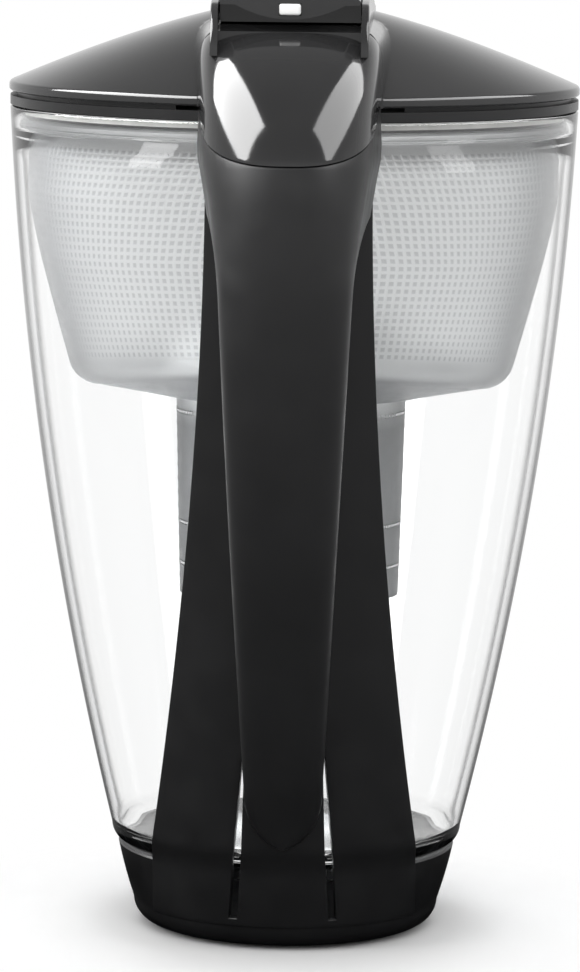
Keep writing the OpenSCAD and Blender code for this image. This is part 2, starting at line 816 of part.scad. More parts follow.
skirt_out_r = rim_in_r - 1;
skirt_in_r = skirt_out_r - 2.5;
ring_low_z = rim_z + body_gap;
ring_h = 2.6;
plate_h = 2;
lid_skirt_low_z = flange_z + flange_h + body_gap;
gasket_z = lid_skirt_low_z + 0.8;
gasket_h = 1.5;
gasket_out = 0.6;
ear_t = 2.6;
ear_x = fill_half + 0.6;
ear_round = 3.6;

module lid_liner() color(dark) difference() {
    union() {
        translate([0, 0, ring_low_z]) cylinder(r = lid_r - 0.3, h = ring_h);
        translate([0, 0, lid_skirt_low_z])
            cylinder(r = skirt_out_r, h = ring_low_z - lid_skirt_low_z);
        difference() {
            translate([0, 0, ring_low_z + ring_h]) cylinder(r = lid_r - lid_wall - fit, h = 2.4);
            translate([0, 0, ring_low_z + ring_h]) cylinder(r = lid_r - lid_wall - 2.4, h = 3);
            translate([-band_half, -far, ring_low_z]) cube([2 * band_half, 2 * far, 9]);
        }
        intersection() {
            fill_hole(chute_wall);
            translate([-far, -far, ring_low_z]) cube([2 * far, 2 * far, pocket_floor_z - ring_low_z]);
        }
        for (side = [-1, 1])
            translate([side * (ear_x + ear_t / 2), pin_y, 0])
                rotate([90, 0, 90]) {
                    translate([0, pin_z, -ear_t / 2]) cylinder(r = ear_round, h = ear_t);
                    translate([-ear_round, ring_low_z, -ear_t / 2])
                        cube([2 * ear_round, pin_z - ring_low_z, ear_t]);
                }
    }
    translate([0, 0, lid_skirt_low_z - over])
        cylinder(r = skirt_in_r, h = ring_low_z + ring_h - plate_h - lid_skirt_low_z + over);
    fill_hole(0);
    difference() {
        translate([0, 0, gasket_z]) cylinder(r = skirt_out_r + over, h = gasket_h);
        translate([0, 0, gasket_z - over]) cylinder(r = skirt_out_r - 0.8, h = gasket_h + 2 * over);
    }
    rotate([0, 90, 0])
        translate([-pin_z, pin_y, -30])
            cylinder(r = pin_r + 0.03, h = 60);
}

module lid_gasket() color("#c9c9c4") difference() {
    translate([0, 0, gasket_z]) cylinder(r = skirt_out_r + gasket_out, h = gasket_h);
    translate([0, 0, gasket_z - over]) cylinder(r = skirt_out_r - 0.8, h = gasket_h + 2 * over);
}

module flap_pin() color("silver")
    translate([-ear_x - ear_t, pin_y, pin_z])
        rotate([0, 90, 0])
            cylinder(r = pin_r, h = 2 * (ear_x + ear_t));

// ---------- flap ----------

flap_low_z = band_top_z + 0.3;
flap_top_z = band_top_z + crown_h;
flap_skin = 1.8;
flap_rear_wall = 10;
flap_front_wall = 2.4;
flap_rear = rail_rear - 0.5;
lip_arch = 8;
lip_low_z = band_top_z + 1.3;
liner_plate_h = 1.7;
flap_gap = 0.4;
barrel_half = fill_half + 0.2;
tab_len = 4;
tab_t = 1.2;

crown_y = -60;

function flap_top(y) = flap_top_z - (flap_top_z - pin_z - barrel_r)
    * pow((y - crown_y) / (pin_y - crown_y), 2);

flap_front = pin_y - 1.2;

module flap_form(inset) {
    stations = steps(-flap_rear + inset, flap_front, 16);
    top = [for (y = stations) [y, flap_top(y) - inset]];
    intersection() {
        side_prism(concat(top, [[flap_front, flap_low_z - (inset > 0 ? over : 0)],
            [-flap_rear + inset, flap_low_z - (inset > 0 ? over : 0)]]), 40);
        taper_block(-flap_rear, surround_half(-flap_rear) - rail_t - flap_gap - inset, flap_front,
            surround_half(flap_front) - rail_t - flap_gap - inset, flap_low_z - 2, flap_top_z + 2);
    }
}

module lip_arch_cut() {
    half = surround_half(-rail_rear);
    top = flap_top(-flap_rear) - flap_skin;
    curve = [for (x = steps(-half, half, 16)) [x, min(top, lip_low_z + lip_arch * pow(x / half, 2))]];
    rear_prism(concat(curve, [[half, lip_low_z - 6], [-half, lip_low_z - 6]]),
        -flap_rear + 8, -flap_rear - 5);
}

button_z = band_top_z + 4;
button_h = 3;
button_proud = 1.2;
button_len = 8.4;
board_z = flap_low_z + liner_plate_h + 0.6;
board_h = 1;
board_w = 18;
board_rear = 11;
switch_w = 6;
switch_len = 4;
switch_h = 0.7;
cell_y = -34;
cell_r = 8;
cell_h = 1.9;
cover_r = 10;
cover_h = 1.3;

// The tab that joins the flap's inner plate to the hinge barrel, through the flap's front wall.
module hinge_tab(extra) {
    translate([-barrel_half - extra, pin_y - barrel_r - tab_len, flap_low_z - (extra > 0 ? over : 0)])
        cube([2 * (barrel_half + extra), barrel_r + tab_len, tab_t + (extra > 0 ? over + extra : 0)]);
}

module flap_shell() color(dark) difference() {
    flap_form(0);
    hinge_tab(fit);
    difference() {
        flap_form(flap_skin);
        translate([-far, -flap_rear - over, 0]) cube([2 * far, flap_rear_wall + over, 2 * far]);
        translate([-far, pin_y - barrel_r - flap_front_wall, 0]) cube(2 * far);
    }
    lip_arch_cut();
    translate([-button_w / 2 - fit, -flap_rear - over, button_z - button_h / 2 - fit])
        cube([button_w + 2 * fit, 14, button_h + 2 * fit]);
    rotate([0, 90, 0])
        translate([-pin_z, pin_y, -40])
            cylinder(r = barrel_r + 0.02, h = 80);
}

module flap_liner() color(dark) difference() {
    union() {
        intersection() {
            flap_form(flap_skin + fit);
            translate([-far, -flap_rear + flap_rear_wall + fit, flap_low_z])
                cube([2 * far, flap_rear + pin_y - barrel_r - flap_rear_wall - flap_front_wall
                    - 2 * fit, liner_plate_h]);
        }
        hinge_tab(0);
        rotate([0, 90, 0])
            translate([-pin_z, pin_y, -barrel_half])
                cylinder(r = barrel_r, h = 2 * barrel_half);
    }
    translate([0, cell_y, flap_low_z - 3]) cylinder(r = cell_r + 0.3, h = 10);
    rotate([0, 90, 0])
        translate([-pin_z, pin_y, -40])
            cylinder(r = pin_r + 0.08, h = 80);
}

module indicator_button() color("white")
    translate([-button_w / 2, -flap_rear - button_proud, button_z - button_h / 2])
        cube([button_w, button_len, button_h]);

module indicator_board() color("#2f5d3a")
    translate([-board_w / 2, -flap_rear + board_rear, board_z])
        cube([board_w, flap_rear + cell_y, board_h]);

module indicator_switch() color("#b9b9b9")
    translate([-switch_w / 2, -flap_rear + board_rear, board_z + board_h])
        cube([switch_w, switch_len, switch_h]);

module coin_cell() color("silver")
    translate([0, cell_y, board_z - cell_h]) cylinder(r = cell_r, h = cell_h);

module battery_cover() color(dark)
    translate([0, cell_y, flap_low_z - cover_h]) cylinder(r = cover_r, h = cover_h);

jug();
base_skirt();
foot_pad();
spine_panel();
handle_grip();
handle_liner();
handle_screws();
hopper();
cartridge_shell();
cartridge_cap();
cartridge_media();
cartridge_mesh_top();
cartridge_mesh_bottom();
cartridge_seal();
lid_shell();
lid_liner();
lid_gasket();
flap_pin();
flap_shell();
flap_liner();
indicator_button();
indicator_board();
indicator_switch();
coin_cell();
battery_cover();
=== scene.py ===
# A round water filter pitcher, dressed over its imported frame: a clear jug on a dark foot, a frosted
# funnel with its filter cartridge, a swept handle on an A-shaped back panel and a domed flip lid.
# Sizes are in millimetres and each finished mesh is in metres, in the frame's own axes.
import math

import bmesh
import bpy
from mathutils import Matrix, Vector


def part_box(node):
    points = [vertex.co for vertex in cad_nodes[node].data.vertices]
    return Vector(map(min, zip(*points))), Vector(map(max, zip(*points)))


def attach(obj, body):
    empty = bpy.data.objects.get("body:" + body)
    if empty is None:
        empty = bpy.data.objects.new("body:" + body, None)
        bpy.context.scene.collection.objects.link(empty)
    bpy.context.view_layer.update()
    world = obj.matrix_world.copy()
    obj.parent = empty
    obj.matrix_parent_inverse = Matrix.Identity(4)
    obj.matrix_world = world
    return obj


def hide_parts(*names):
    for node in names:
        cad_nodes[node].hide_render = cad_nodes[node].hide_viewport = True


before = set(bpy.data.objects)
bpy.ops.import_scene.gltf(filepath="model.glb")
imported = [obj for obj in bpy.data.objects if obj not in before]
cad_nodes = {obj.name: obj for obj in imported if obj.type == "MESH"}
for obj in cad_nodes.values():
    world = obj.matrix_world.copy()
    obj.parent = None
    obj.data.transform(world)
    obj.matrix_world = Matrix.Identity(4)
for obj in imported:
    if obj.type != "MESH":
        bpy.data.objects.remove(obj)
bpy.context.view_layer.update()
mm = 0.001

# ---- Camera ----
# The view is from the handle side, a little above the lid, through a long lens that stands about one
# and a half metres away and leans by two thirds of a degree.
camera_reach = 1400 * mm
camera_height = 317.9 * mm
camera_side = math.radians(0.9)
camera_dip = math.radians(7.744)
camera_roll = math.radians(0.666)
camera_focal = 181.29

camera = bpy.data.objects.new("camera", bpy.data.cameras.new("camera"))
bpy.context.scene.collection.objects.link(camera)
bpy.context.scene.camera = camera
camera.data.lens = camera_focal
camera.location = (math.sin(camera_side) * camera_reach, -math.cos(camera_side) * camera_reach,
    camera_height)
camera.rotation_euler = (Matrix.Rotation(camera_side, 3, "Z")
    @ Matrix.Rotation(math.pi / 2 - camera_dip, 3, "X")
    @ Matrix.Rotation(camera_roll, 3, "Z")).to_euler()

# ---- Clear jug ----
# One moulding of clear plastic: a round bulging wall with a rounded floor, a collar below it for the
# foot, a ledge inside the rim that carries the funnel, and a spout drawn out of the front of the rim.
jug_box = [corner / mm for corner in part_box("jug")]
rim_r = 81
rim_z = jug_box[1].z
spout_reach = jug_box[1].y - rim_r
skirt_h = 24.3
foot_r = 49.4
belly = 5.4
jug_wall = 2.6
jug_floor = 3.2
jug_corner = 5
rim_round = 0.9
ledge_drop = 5.5
ledge_w = 2
ledge_z = rim_z - ledge_drop
rim_in_r = rim_r - jug_wall
collar_r = 38.6
collar_t = 2.2
collar_low_z = jug_box[0].z
floor_top_z = skirt_h + jug_floor
spout_half = 21
spout_h = 44
spout_root_half = 5
spout_root_depth = 8
spout_depth = 30
spout_sink = 2
spout_fillet = 7
clear_tint = (0.998, 1, 1, 1)
# Painted shade: the colour the jug's wall takes where it is seen edge-on.
clear_edge_painted_shade = (0.012, 0.0125, 0.013, 1)
clear_index = 1.5
clear_smoke = (0.3, 0.31, 0.32, 1)
clear_density = 2


def jug_r(z):
    """Radius of the jug's outer wall at a height."""
    t = (z - skirt_h) / (rim_z - skirt_h)
    return foot_r + (rim_r - foot_r) * t + 4 * belly * t * (1 - t)


def steps(start, end, count):
    """Evenly spaced values from start to end, both included."""
    return [start + (end - start) * i / count for i in range(count + 1)]


def arc(centre, radius, start, end, count):
    """Points of a round corner in the side outline, from one angle to another in degrees."""
    turn = [math.radians(a) for a in steps(start, end, count)]
    return [(centre[0] + radius * math.cos(a), centre[1] + radius * math.sin(a)) for a in turn]


def turned(outline, count):
    """Turns a closed side outline of (radius, height) points about the upright axis."""
    form = bmesh.new()
    points = [form.verts.new((r, 0, z)) for r, z in outline]
    edges = [form.edges.new(pair) for pair in zip(points, points[1:] + points[:1])]
    bmesh.ops.spin(form, geom=points + edges, cent=(0, 0, 0), axis=(0, 0, 1), angle=math.tau,
        steps=count, use_merge=True)
    bmesh.ops.remove_doubles(form, verts=form.verts, dist=0.001)
    return form


def finished(name, form, material, body, stands_for=(), crease=32):
    """Welds and turns a form's faces outwards, smooths it up to its creases, and puts it in place."""
    bmesh.ops.remove_doubles(form, verts=form.verts, dist=0.002)
    bmesh.ops.recalc_face_normals(form, faces=form.faces)
    bmesh.ops.scale(form, vec=(mm, mm, mm), verts=form.verts)
    for face in form.faces:
        face.smooth = True
    for edge in form.edges:
        edge.smooth = edge.calc_face_angle(0) < math.radians(crease)
    mesh = bpy.data.meshes.new(name)
    form.to_mesh(mesh)
    form.free()
    mesh.materials.append(material)
    piece = bpy.data.objects.new(name, mesh)
    bpy.context.scene.collection.objects.link(piece)
    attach(piece, body)
    if stands_for:
        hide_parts(*stands_for)
    return piece


def node(tree, kind, **settings):
    """One shader node, with its settings; those that are sockets are set by their name."""
    made = tree.nodes.new("ShaderNode" + kind)
    for key, value in settings.items():
        socket = made.inputs.get(key.replace("_", " "))
        if hasattr(made, key):
            setattr(made, key, value)
        else:
            socket.default_value = value
    return made


def drifting(tree, place, size, low, high, detail=3):
    """A soft cloud of values from low to high, with features of the given size in metres."""
    cloud = node(tree, "TexNoise", Scale=1 / size, Detail=detail)
    tree.links.new(place, cloud.inputs["Vector"])
    spread = node(tree, "MapRange", From_Min=0.3, From_Max=0.7, To_Min=low, To_Max=high)
    tree.links.new(cloud.outputs["Fac"], spread.inputs["Value"])
    return spread.outputs["Result"]


def blank(name):
    """A new material, its tree, its main shader and its object coordinates."""
    material = bpy.data.materials.new(name)
    material.use_nodes = True
    tree = material.node_tree
    place = node(tree, "TexCoord").outputs["Object"]
    return material, tree, tree.nodes["Principled BSDF"], place


def see_through(tree, shader, lamp_share, lamp_tint):
    """Lets a share of each lamp's light straight through a clear wall, as a thin wall does."""
    output = tree.nodes["Material Output"]
    rays = node(tree, "LightPath")
    share = node(tree, "Math", operation="MULTIPLY")
    share.inputs[1].default_value = lamp_share
    clear = node(tree, "BsdfTransparent", Color=lamp_tint)
    both = node(tree, "MixShader")
    tree.links.new(rays.outputs["Is Shadow Ray"], share.inputs[0])
    tree.links.new(share.outputs[0], both.inputs[0])
    tree.links.new(shader.outputs[0], both.inputs[1])
    tree.links.new(clear.outputs[0], both.inputs[2])
    tree.links.new(both.outputs[0], output.inputs["Surface"])


def clear_plastic():
    """Glossy clear plastic that greys where it is looked through along the wall, with painted shade that
    turns its colour near black where the wall is seen edge-on.
    """
    material, tree, shader, place = blank("clear_plastic")
    shade_facing = node(tree, "LayerWeight", Blend=0.5)
    # Painted shade: the colour is blended to near black where the wall is seen edge-on.
    rim = node(tree, "MapRange", interpolation_type="SMOOTHSTEP", From_Min=0.74, From_Max=0.86)
    tree.links.new(shade_facing.outputs["Facing"], rim.inputs["Value"])
    tint = node(tree, "Mix", data_type="RGBA")
    tint.inputs["A"].default_value = clear_tint
    tint.inputs["B"].default_value = clear_edge_painted_shade
    tree.links.new(rim.outputs["Result"], tint.inputs["Factor"])
    tree.links.new(tint.outputs["Result"], shader.inputs["Base Color"])
    shader.inputs["Transmission Weight"].default_value = 1
    shader.inputs["IOR"].default_value = clear_index
    tree.links.new(drifting(tree, place, 0.03, 0.0, 0.035), shader.inputs["Roughness"])
    ripple = node(tree, "Bump", Strength=0.04, Distance=0.0004)
    tree.links.new(drifting(tree, place, 0.05, 0, 1, detail=1), ripple.inputs["Height"])
    tree.links.new(ripple.outputs[0], shader.inputs["Normal"])
    see_through(tree, shader, 1, (0.93, 0.94, 0.95, 1))
    smoke = node(tree, "VolumeAbsorption", Color=clear_smoke, Density=clear_density)
    tree.links.new(smoke.outputs[0], tree.nodes["Material Output"].inputs["Volume"])
    return material


def jug_outline():
    """The wall's side outline, from the floor's middle up the outside and down the inside."""
    low = skirt_h + jug_corner
    collar = [(0, skirt_h), (collar_r - collar_t, skirt_h), (collar_r - collar_t, collar_low_z),
        (collar_r, collar_low_z), (collar_r, skirt_h)]
    outside = [(jug_r(z), z) for z in steps(low, rim_z - rim_round, 44)]
    rim = arc((rim_r - rim_round, rim_z - rim_round), rim_round, 20, 90, 4)
    lip = arc((rim_in_r + 0.5, rim_z - 0.5), 0.5, 90, 180, 3)
    ledge = [(rim_in_r, ledge_z), (rim_in_r - ledge_w, ledge_z),
        (rim_in_r - ledge_w, ledge_z - 0.4 * ledge_w)]
    low_in = floor_top_z + jug_corner
    inside = [(jug_r(z) - jug_wall, z) for z in steps(ledge_z - 2 * ledge_w, low_in, 40)]
    corner_r = jug_r(low) - jug_corner
    corner_in_r = jug_r(low_in) - jug_wall - jug_corner
    return (collar + arc((corner_r, low), jug_corner, -90, -8, 8) + outside + rim + lip + ledge
        + inside + arc((corner_in_r, low_in), jug_corner, -8, -90, 8) + [(0, floor_top_z)])


def spout_r(across, z, inset):
    """How far the spout's oval reaches from the axis in a direction, or nothing beside it."""
    u = max(0, (z - rim_z + spout_h) / spout_h)
    half = spout_root_half + (spout_half - spout_root_half) * u ** 0.8 - inset
    depth = spout_root_depth + (spout_depth - spout_root_depth) * u - inset
    lip = jug_r(z) - spout_sink + (spout_reach + spout_sink) * u ** 1.4 - inset
    middle = lip - depth
    a = (math.sin(across) / half) ** 2 + (math.cos(across) / depth) ** 2
    b = -2 * math.cos(across) * middle / depth ** 2
    c = (middle / depth) ** 2 - 1
    root = b * b - 4 * a * c
    return (-b + math.sqrt(root)) / (2 * a) if root > 0 and u > 0 and half > 0 else 0


def draw_spout(form):
    """Draws the wall out to the spout's oval, with a soft fillet where the two meet."""
    for point in form.verts:
        radius, across = math.hypot(point.co.x, point.co.y), math.atan2(point.co.x, point.co.y)
        z = point.co.z
        if z < rim_z - spout_h or abs(across) > 0.9 or radius < 1:
            continue
        inset = min(jug_wall, max(0, jug_r(z) - radius))
        reach = spout_r(across, z, inset)
        soft = 1 + spout_fillet * (z - rim_z + spout_h) / spout_h
        part = min(1, max(0, 0.5 + 0.5 * (reach - radius) / soft))
        radius = radius * (1 - part) + reach * part + soft * part * (1 - part)
        point.co.x, point.co.y = radius * math.sin(across), radius * math.cos(across)


jug_form = turned(jug_outline(), 300)
draw_spout(jug_form)
clear = clear_plastic()
jug_piece = finished("clear_jug", jug_form, clear, "pitcher", ["jug"])

# ---- Floor and light ----
# A plain pale floor that is white to the lens and takes a soft shadow close round the foot, a white
# surround, soft lamps for the matt surfaces and two large soft cards that only gloss picks up.
floor_size = 40
floor_tone = 0.72
shadow_near = 0.05
shadow_far = 0.118
shadow_share = 0
surround_glow = 0.85
overhead_dim = 0.66


def lit_for(tree, ray):
    """One for rays of a kind that see the floor and surround, else nothing."""
    return node(tree, "LightPath").outputs[ray]


def joined(tree, operation, one, other):
    """One number worked out from two, each a socket or a plain number."""
    made = node(tree, "Math", operation=operation)
    for socket, value in zip(made.inputs, (one, other)):
        if isinstance(value, (int, float)):
            socket.default_value = value
        else:
            tree.links.new(value, socket)
    return made.outputs[0]


def floor_material():
    """Pale matt floor that glows white to the lens away from the foot, and carries painted shade in
    gloss: its reflection is dim near the foot.
    """
    material, tree, shader, place = blank("floor")
    shader.inputs["Base Color"].default_value = (floor_tone, floor_tone, floor_tone, 1)
    shader.inputs["Roughness"].default_value = 0.9
    shader.inputs["Specular IOR Level"].default_value = 0
    distance = node(tree, "VectorMath", operation="LENGTH")
    tree.links.new(place, distance.inputs[0])
    away = node(tree, "MapRange", interpolation_type="SMOOTHSTEP", From_Min=shadow_near,
        From_Max=shadow_far, To_Min=shadow_share, To_Max=1)
    tree.links.new(distance.outputs["Value"], away.inputs["Value"])
    # Painted shade: in gloss the floor is painted dimmer near the foot.
    gloss_shade_ramp = node(tree, "MapRange", From_Min=0.1, From_Max=1.3)
    tree.links.new(distance.outputs["Value"], gloss_shade_ramp.inputs["Value"])
    through = lit_for(tree, "Is Transmission Ray")
    mirrored = joined(tree, "MULTIPLY", lit_for(tree, "Is Glossy Ray"),
        joined(tree, "SUBTRACT", 1, through))
    seen = joined(tree, "MULTIPLY", lit_for(tree, "Is Camera Ray"), away.outputs["Result"])
    share = joined(tree, "MAXIMUM", seen, joined(tree, "MAXIMUM", through, mirrored))
    painted_shade_level = joined(tree, "MULTIPLY", joined(tree, "SQRT", gloss_shade_ramp.outputs["Result"], 0), 0.8)
    bright = joined(tree, "SUBTRACT", 1, joined(tree, "MULTIPLY", mirrored,
        joined(tree, "SUBTRACT", 1, painted_shade_level)))
    glow = node(tree, "Emission", Color=(1, 1, 1, 1))
    tree.links.new(bright, glow.inputs["Strength"])
    both = node(tree, "MixShader")
    tree.links.new(share, both.inputs[0])
    tree.links.new(shader.outputs[0], both.inputs[1])
    tree.links.new(glow.outputs[0], both.inputs[2])
    tree.links.new(both.outputs[0], tree.nodes["Material Output"].inputs["Surface"])
    return material


floor_form = bmesh.new()
bmesh.ops.create_grid(floor_form, x_segments=1, y_segments=1, size=floor_size / 2)
floor_mesh = bpy.data.meshes.new("floor")
floor_form.to_mesh(floor_mesh)
floor_form.free()
floor_mesh.materials.append(floor_material())
floor = bpy.data.objects.new("floor", floor_mesh)
bpy.context.scene.collection.objects.link(floor)

world = bpy.data.worlds.new("surround")
bpy.context.scene.world = world
world.use_nodes = True
backdrop = world.node_tree.nodes["Background"]
backdrop.inputs["Color"].default_value = (1, 1, 1, 1)
through = lit_for(world.node_tree, "Is Transmission Ray")
whitened = joined(world.node_tree, "MAXIMUM", lit_for(world.node_tree, "Is Camera Ray"), through)
strength = node(world.node_tree, "MapRange", To_Min=surround_glow, To_Max=1)
world.node_tree.links.new(whitened, strength.inputs["Value"])
aim = node(world.node_tree, "SeparateXYZ")
world.node_tree.links.new(node(world.node_tree, "TexCoord").outputs["Generated"], aim.inputs[0])
overhead = node(world.node_tree, "MapRange", interpolation_type="SMOOTHSTEP", From_Min=0.15,
    From_Max=0.65, To_Min=0, To_Max=overhead_dim)
world.node_tree.links.new(aim.outputs["Z"], overhead.inputs["Value"])
mirrored = joined(world.node_tree, "MULTIPLY", lit_for(world.node_tree, "Is Glossy Ray"),
    joined(world.node_tree, "SUBTRACT", 1, through))
dimmed = joined(world.node_tree, "SUBTRACT", 1,
    joined(world.node_tree, "MULTIPLY", mirrored, overhead.outputs["Result"]))
world.node_tree.links.new(joined(world.node_tree, "MULTIPLY", strength.outputs["Result"], dimmed),
    backdrop.inputs["Strength"])


def lamp(name, place, aim, width, height, power, card=False):
    """A soft rectangular lamp from its place to its aim, or a card that shows in gloss alone."""
    data = bpy.data.lights.new(name, "AREA")
    data.shape, data.size, data.size_y, data.energy = "RECTANGLE", width, height, power
    made = bpy.data.objects.new(name, data)
    bpy.context.scene.collection.objects.link(made)
    made.location = place
    made.rotation_euler = (Vector(aim) - Vector(place)).to_track_quat("-Z", "Y").to_euler()
    made.visible_diffuse = made.visible_transmission = not card
    made.visible_glossy = card


lamp("lamp_top", (0, -0.3, 1.5), (0, 0, 0.15), 1.2, 1.2, 9)
lamp("lamp_lens", (0.3, -2.2, 1.6), (0, 0, 0.15), 1.4, 0.9, 10)
lamp("lamp_left", (-1.1, -0.6, 0.7), (0, 0, 0.2), 0.35, 1.0, 7)
lamp("lamp_right", (1.2, -0.4, 0.6), (0, 0, 0.2), 0.35, 1.0, 3)
lamp("card_left", (-1.05, -0.18, 1.3), (0, 0, 0.25), 2.2, 1.2, 150, card=True)
lamp("card_right", (1.05, -0.18, 1.3), (0, 0, 0.25), 2.2, 1.0, 50, card=True)

# ---- Foot ----
# A dark moulded skirt, closed below, that grips the jug's collar; a thin anti-slip pad is let into
# its underside and stands a little below it.
skirt_low_r = 41.5
skirt_bulge = 0.6
skirt_step = 0.6
skirt_wall = 2.4
skirt_edge = 6.5
base_t = 2.6
pad_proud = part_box("base_skirt")[0].z / mm
slit_top_z = 59
slit_mid_z = 30
slit_low_z = 9.5
slit_top_x = 11.3
slit_low_x = 14.2
slit_w = 2.3
slit_tip_w = 0.6


def skirt_r(z):
    """Radius of the foot skirt at a height."""
    t = z / skirt_h
    top = foot_r - skirt_step
    return skirt_low_r + (top - skirt_low_r) * t + 4 * skirt_bulge * t * (1 - t)


def slit_x(z):
    """Inner and outer distance of a slit from the middle at a height."""
    t = min(1, max(0, (slit_top_z - z) / (slit_top_z - slit_low_z)))
    middle = slit_top_x + (slit_low_x - slit_top_x) * t
    opened = min(1, max(0, (slit_top_z - z) / (slit_top_z - slit_mid_z)))
    width = slit_tip_w + (slit_w - slit_tip_w) * opened
    return middle - width / 2, middle + width / 2


def dark_plastic(name, colour, gloss, level=0.3):
    """Dark glossy moulded plastic, with a faint drift of tone, rub marks and a very fine grain."""
    material, tree, shader, place = blank(name)
    tone = node(tree, "Mix", data_type="RGBA")
    tone.inputs["A"].default_value = (*[c * 0.86 for c in colour], 1)
    tone.inputs["B"].default_value = (*[c * 1.14 for c in colour], 1)
    tree.links.new(drifting(tree, place, 0.045, 0, 1), tone.inputs["Factor"])
    tree.links.new(tone.outputs["Result"], shader.inputs["Base Color"])
    tree.links.new(drifting(tree, place, 0.011, gloss * 0.85, gloss * 1.2, detail=6),
        shader.inputs["Roughness"])
    shader.inputs["Specular IOR Level"].default_value = level
    grain = node(tree, "Bump", Strength=0.05, Distance=0.00003)
    tree.links.new(drifting(tree, place, 0.0006, 0, 1), grain.inputs["Height"])
    tree.links.new(grain.outputs[0], shader.inputs["Normal"])
    return material


def rear_prism(outline, front, back):
    """A closed outline of (x, z) points seen from behind, drawn from y = front to y = back."""
    form = bmesh.new()
    points = [form.verts.new((x, front, z)) for x, z in outline]
    face = form.faces.new(points)
    drawn = bmesh.ops.extrude_face_region(form, geom=[face])["geom"]
    moved = [part for part in drawn if isinstance(part, bmesh.types.BMVert)]
    bmesh.ops.translate(form, vec=(0, back - front, 0), verts=moved)
    bmesh.ops.recalc_face_normals(form, faces=form.faces)
    return form


def combined(form, tool, operation):
    """One closed form joined with, cut by or kept inside another."""
    holders = []
    for part in (form, tool):
        mesh = bpy.data.meshes.new("part")
        bmesh.ops.recalc_face_normals(part, faces=part.faces)
        part.to_mesh(mesh)
        part.free()
        holders.append(bpy.data.objects.new("part", mesh))
        bpy.context.scene.collection.objects.link(holders[-1])
    step = holders[0].modifiers.new("step", "BOOLEAN")
    step.object, step.operation, step.solver = holders[1], operation, "EXACT"
    result = bmesh.new()
    result.from_object(holders[0], bpy.context.evaluated_depsgraph_get())
    for holder in holders:
        mesh = holder.data
        bpy.data.objects.remove(holder)
        bpy.data.meshes.remove(mesh)
    return result


def slit_outline(side):
    """The outline of one slit in the panel and the foot, seen from behind."""
    levels = (slit_top_z, slit_mid_z, slit_low_z)
    near = [(side * slit_x(z)[0], z) for z in levels]
    return near + [(side * slit_x(z)[1], z) for z in reversed(levels)]


skirt_low_z = pad_proud + skirt_edge
skirt_edge_r = skirt_r(skirt_low_z) - skirt_edge
skirt_outline = ([(0, pad_proud)] + arc((skirt_edge_r, skirt_low_z), skirt_edge, -90, -6, 14)
    + [(skirt_r(z), z) for z in steps(skirt_low_z, skirt_h - 0.6, 12)]
    + [(skirt_r(skirt_h) - 0.5, skirt_h), (collar_r + 0.1, skirt_h), (collar_r + 0.1, skirt_h - 2.2)]
    + [(skirt_r(z) - skirt_wall, z) for z in steps(skirt_h - 2.2, skirt_low_z, 6)]
    + [(skirt_edge_r, pad_proud + base_t), (0, pad_proud + base_t)])
foot_form = turned(skirt_outline, 192)
for side in (-1, 1):
    foot_form = combined(foot_form, rear_prism(slit_outline(side), -20, -90), "DIFFERENCE")
foot_dark = dark_plastic("foot_dark", (0.0065, 0.0065, 0.007), 0.35)
finished("foot_skirt", foot_form, foot_dark, "pitcher", ["base_skirt"])


def rubber(name, colour):
    """Matt soft rubber with a fine pebbled skin."""
    material, tree, shader, place = blank(name)
    tone = node(tree, "Mix", data_type="RGBA")
    tone.inputs["A"].default_value = (*[c * 0.8 for c in colour], 1)
    tone.inputs["B"].default_value = (*colour, 1)
    tree.links.new(drifting(tree, place, 0.006, 0, 1), tone.inputs["Factor"])
    tree.links.new(tone.outputs["Result"], shader.inputs["Base Color"])
    shader.inputs["Roughness"].default_value = 0.75
    pebbles = node(tree, "TexVoronoi", Scale=1400)
    tree.links.new(place, pebbles.inputs["Vector"])
    skin = node(tree, "Bump", Strength=0.3, Distance=0.0001)
    tree.links.new(pebbles.outputs["Distance"], skin.inputs["Height"])
    tree.links.new(skin.outputs[0], shader.inputs["Normal"])
    return material


def dress(name, material):
    """Gives a carried-over piece of the frame its finish."""
    cad_nodes[name].data.materials.clear()
    cad_nodes[name].data.materials.append(material)


dress("foot_pad", rubber("pad_rubber", (0.03, 0.03, 0.032)))

# ---- Back panel ----
# A dark curved panel on the back of the jug that widens like a letter A down to the foot. Two slits
# part its centre leg, which the handle grows out of, from its side legs.
panel_box = [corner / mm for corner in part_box("spine_panel")]
panel_t = 2.4
panel_gap = 0.1
panel_top_half = 22.8
panel_low_half = panel_box[1].x
panel_low_z = panel_box[0].z
panel_top_z = panel_box[1].z
panel_join_z = skirt_h + jug_corner + 1
panel_straight_z = rim_z - 17.5
panel_skirt_proud = 0.6
panel_edge = 0.7


def panel_half(z):
    """Half width of the panel at a height."""
    t = max(0, panel_straight_z - max(z, panel_join_z)) / (panel_straight_z - panel_join_z)
    return panel_top_half + (panel_low_half - panel_top_half) * t ** 1.8


def panel_r(z):
    """Radius of the panel's outer face at a height."""
    if z >= panel_join_z:
        return jug_r(z) + panel_gap + panel_t
    foot_z = skirt_h - 1
    low = skirt_r(min(z, foot_z)) + panel_skirt_proud
    rise = max(0, z - foot_z) / (panel_join_z - foot_z)
    return low + (jug_r(panel_join_z) + panel_gap + panel_t - low) * rise ** 1.3


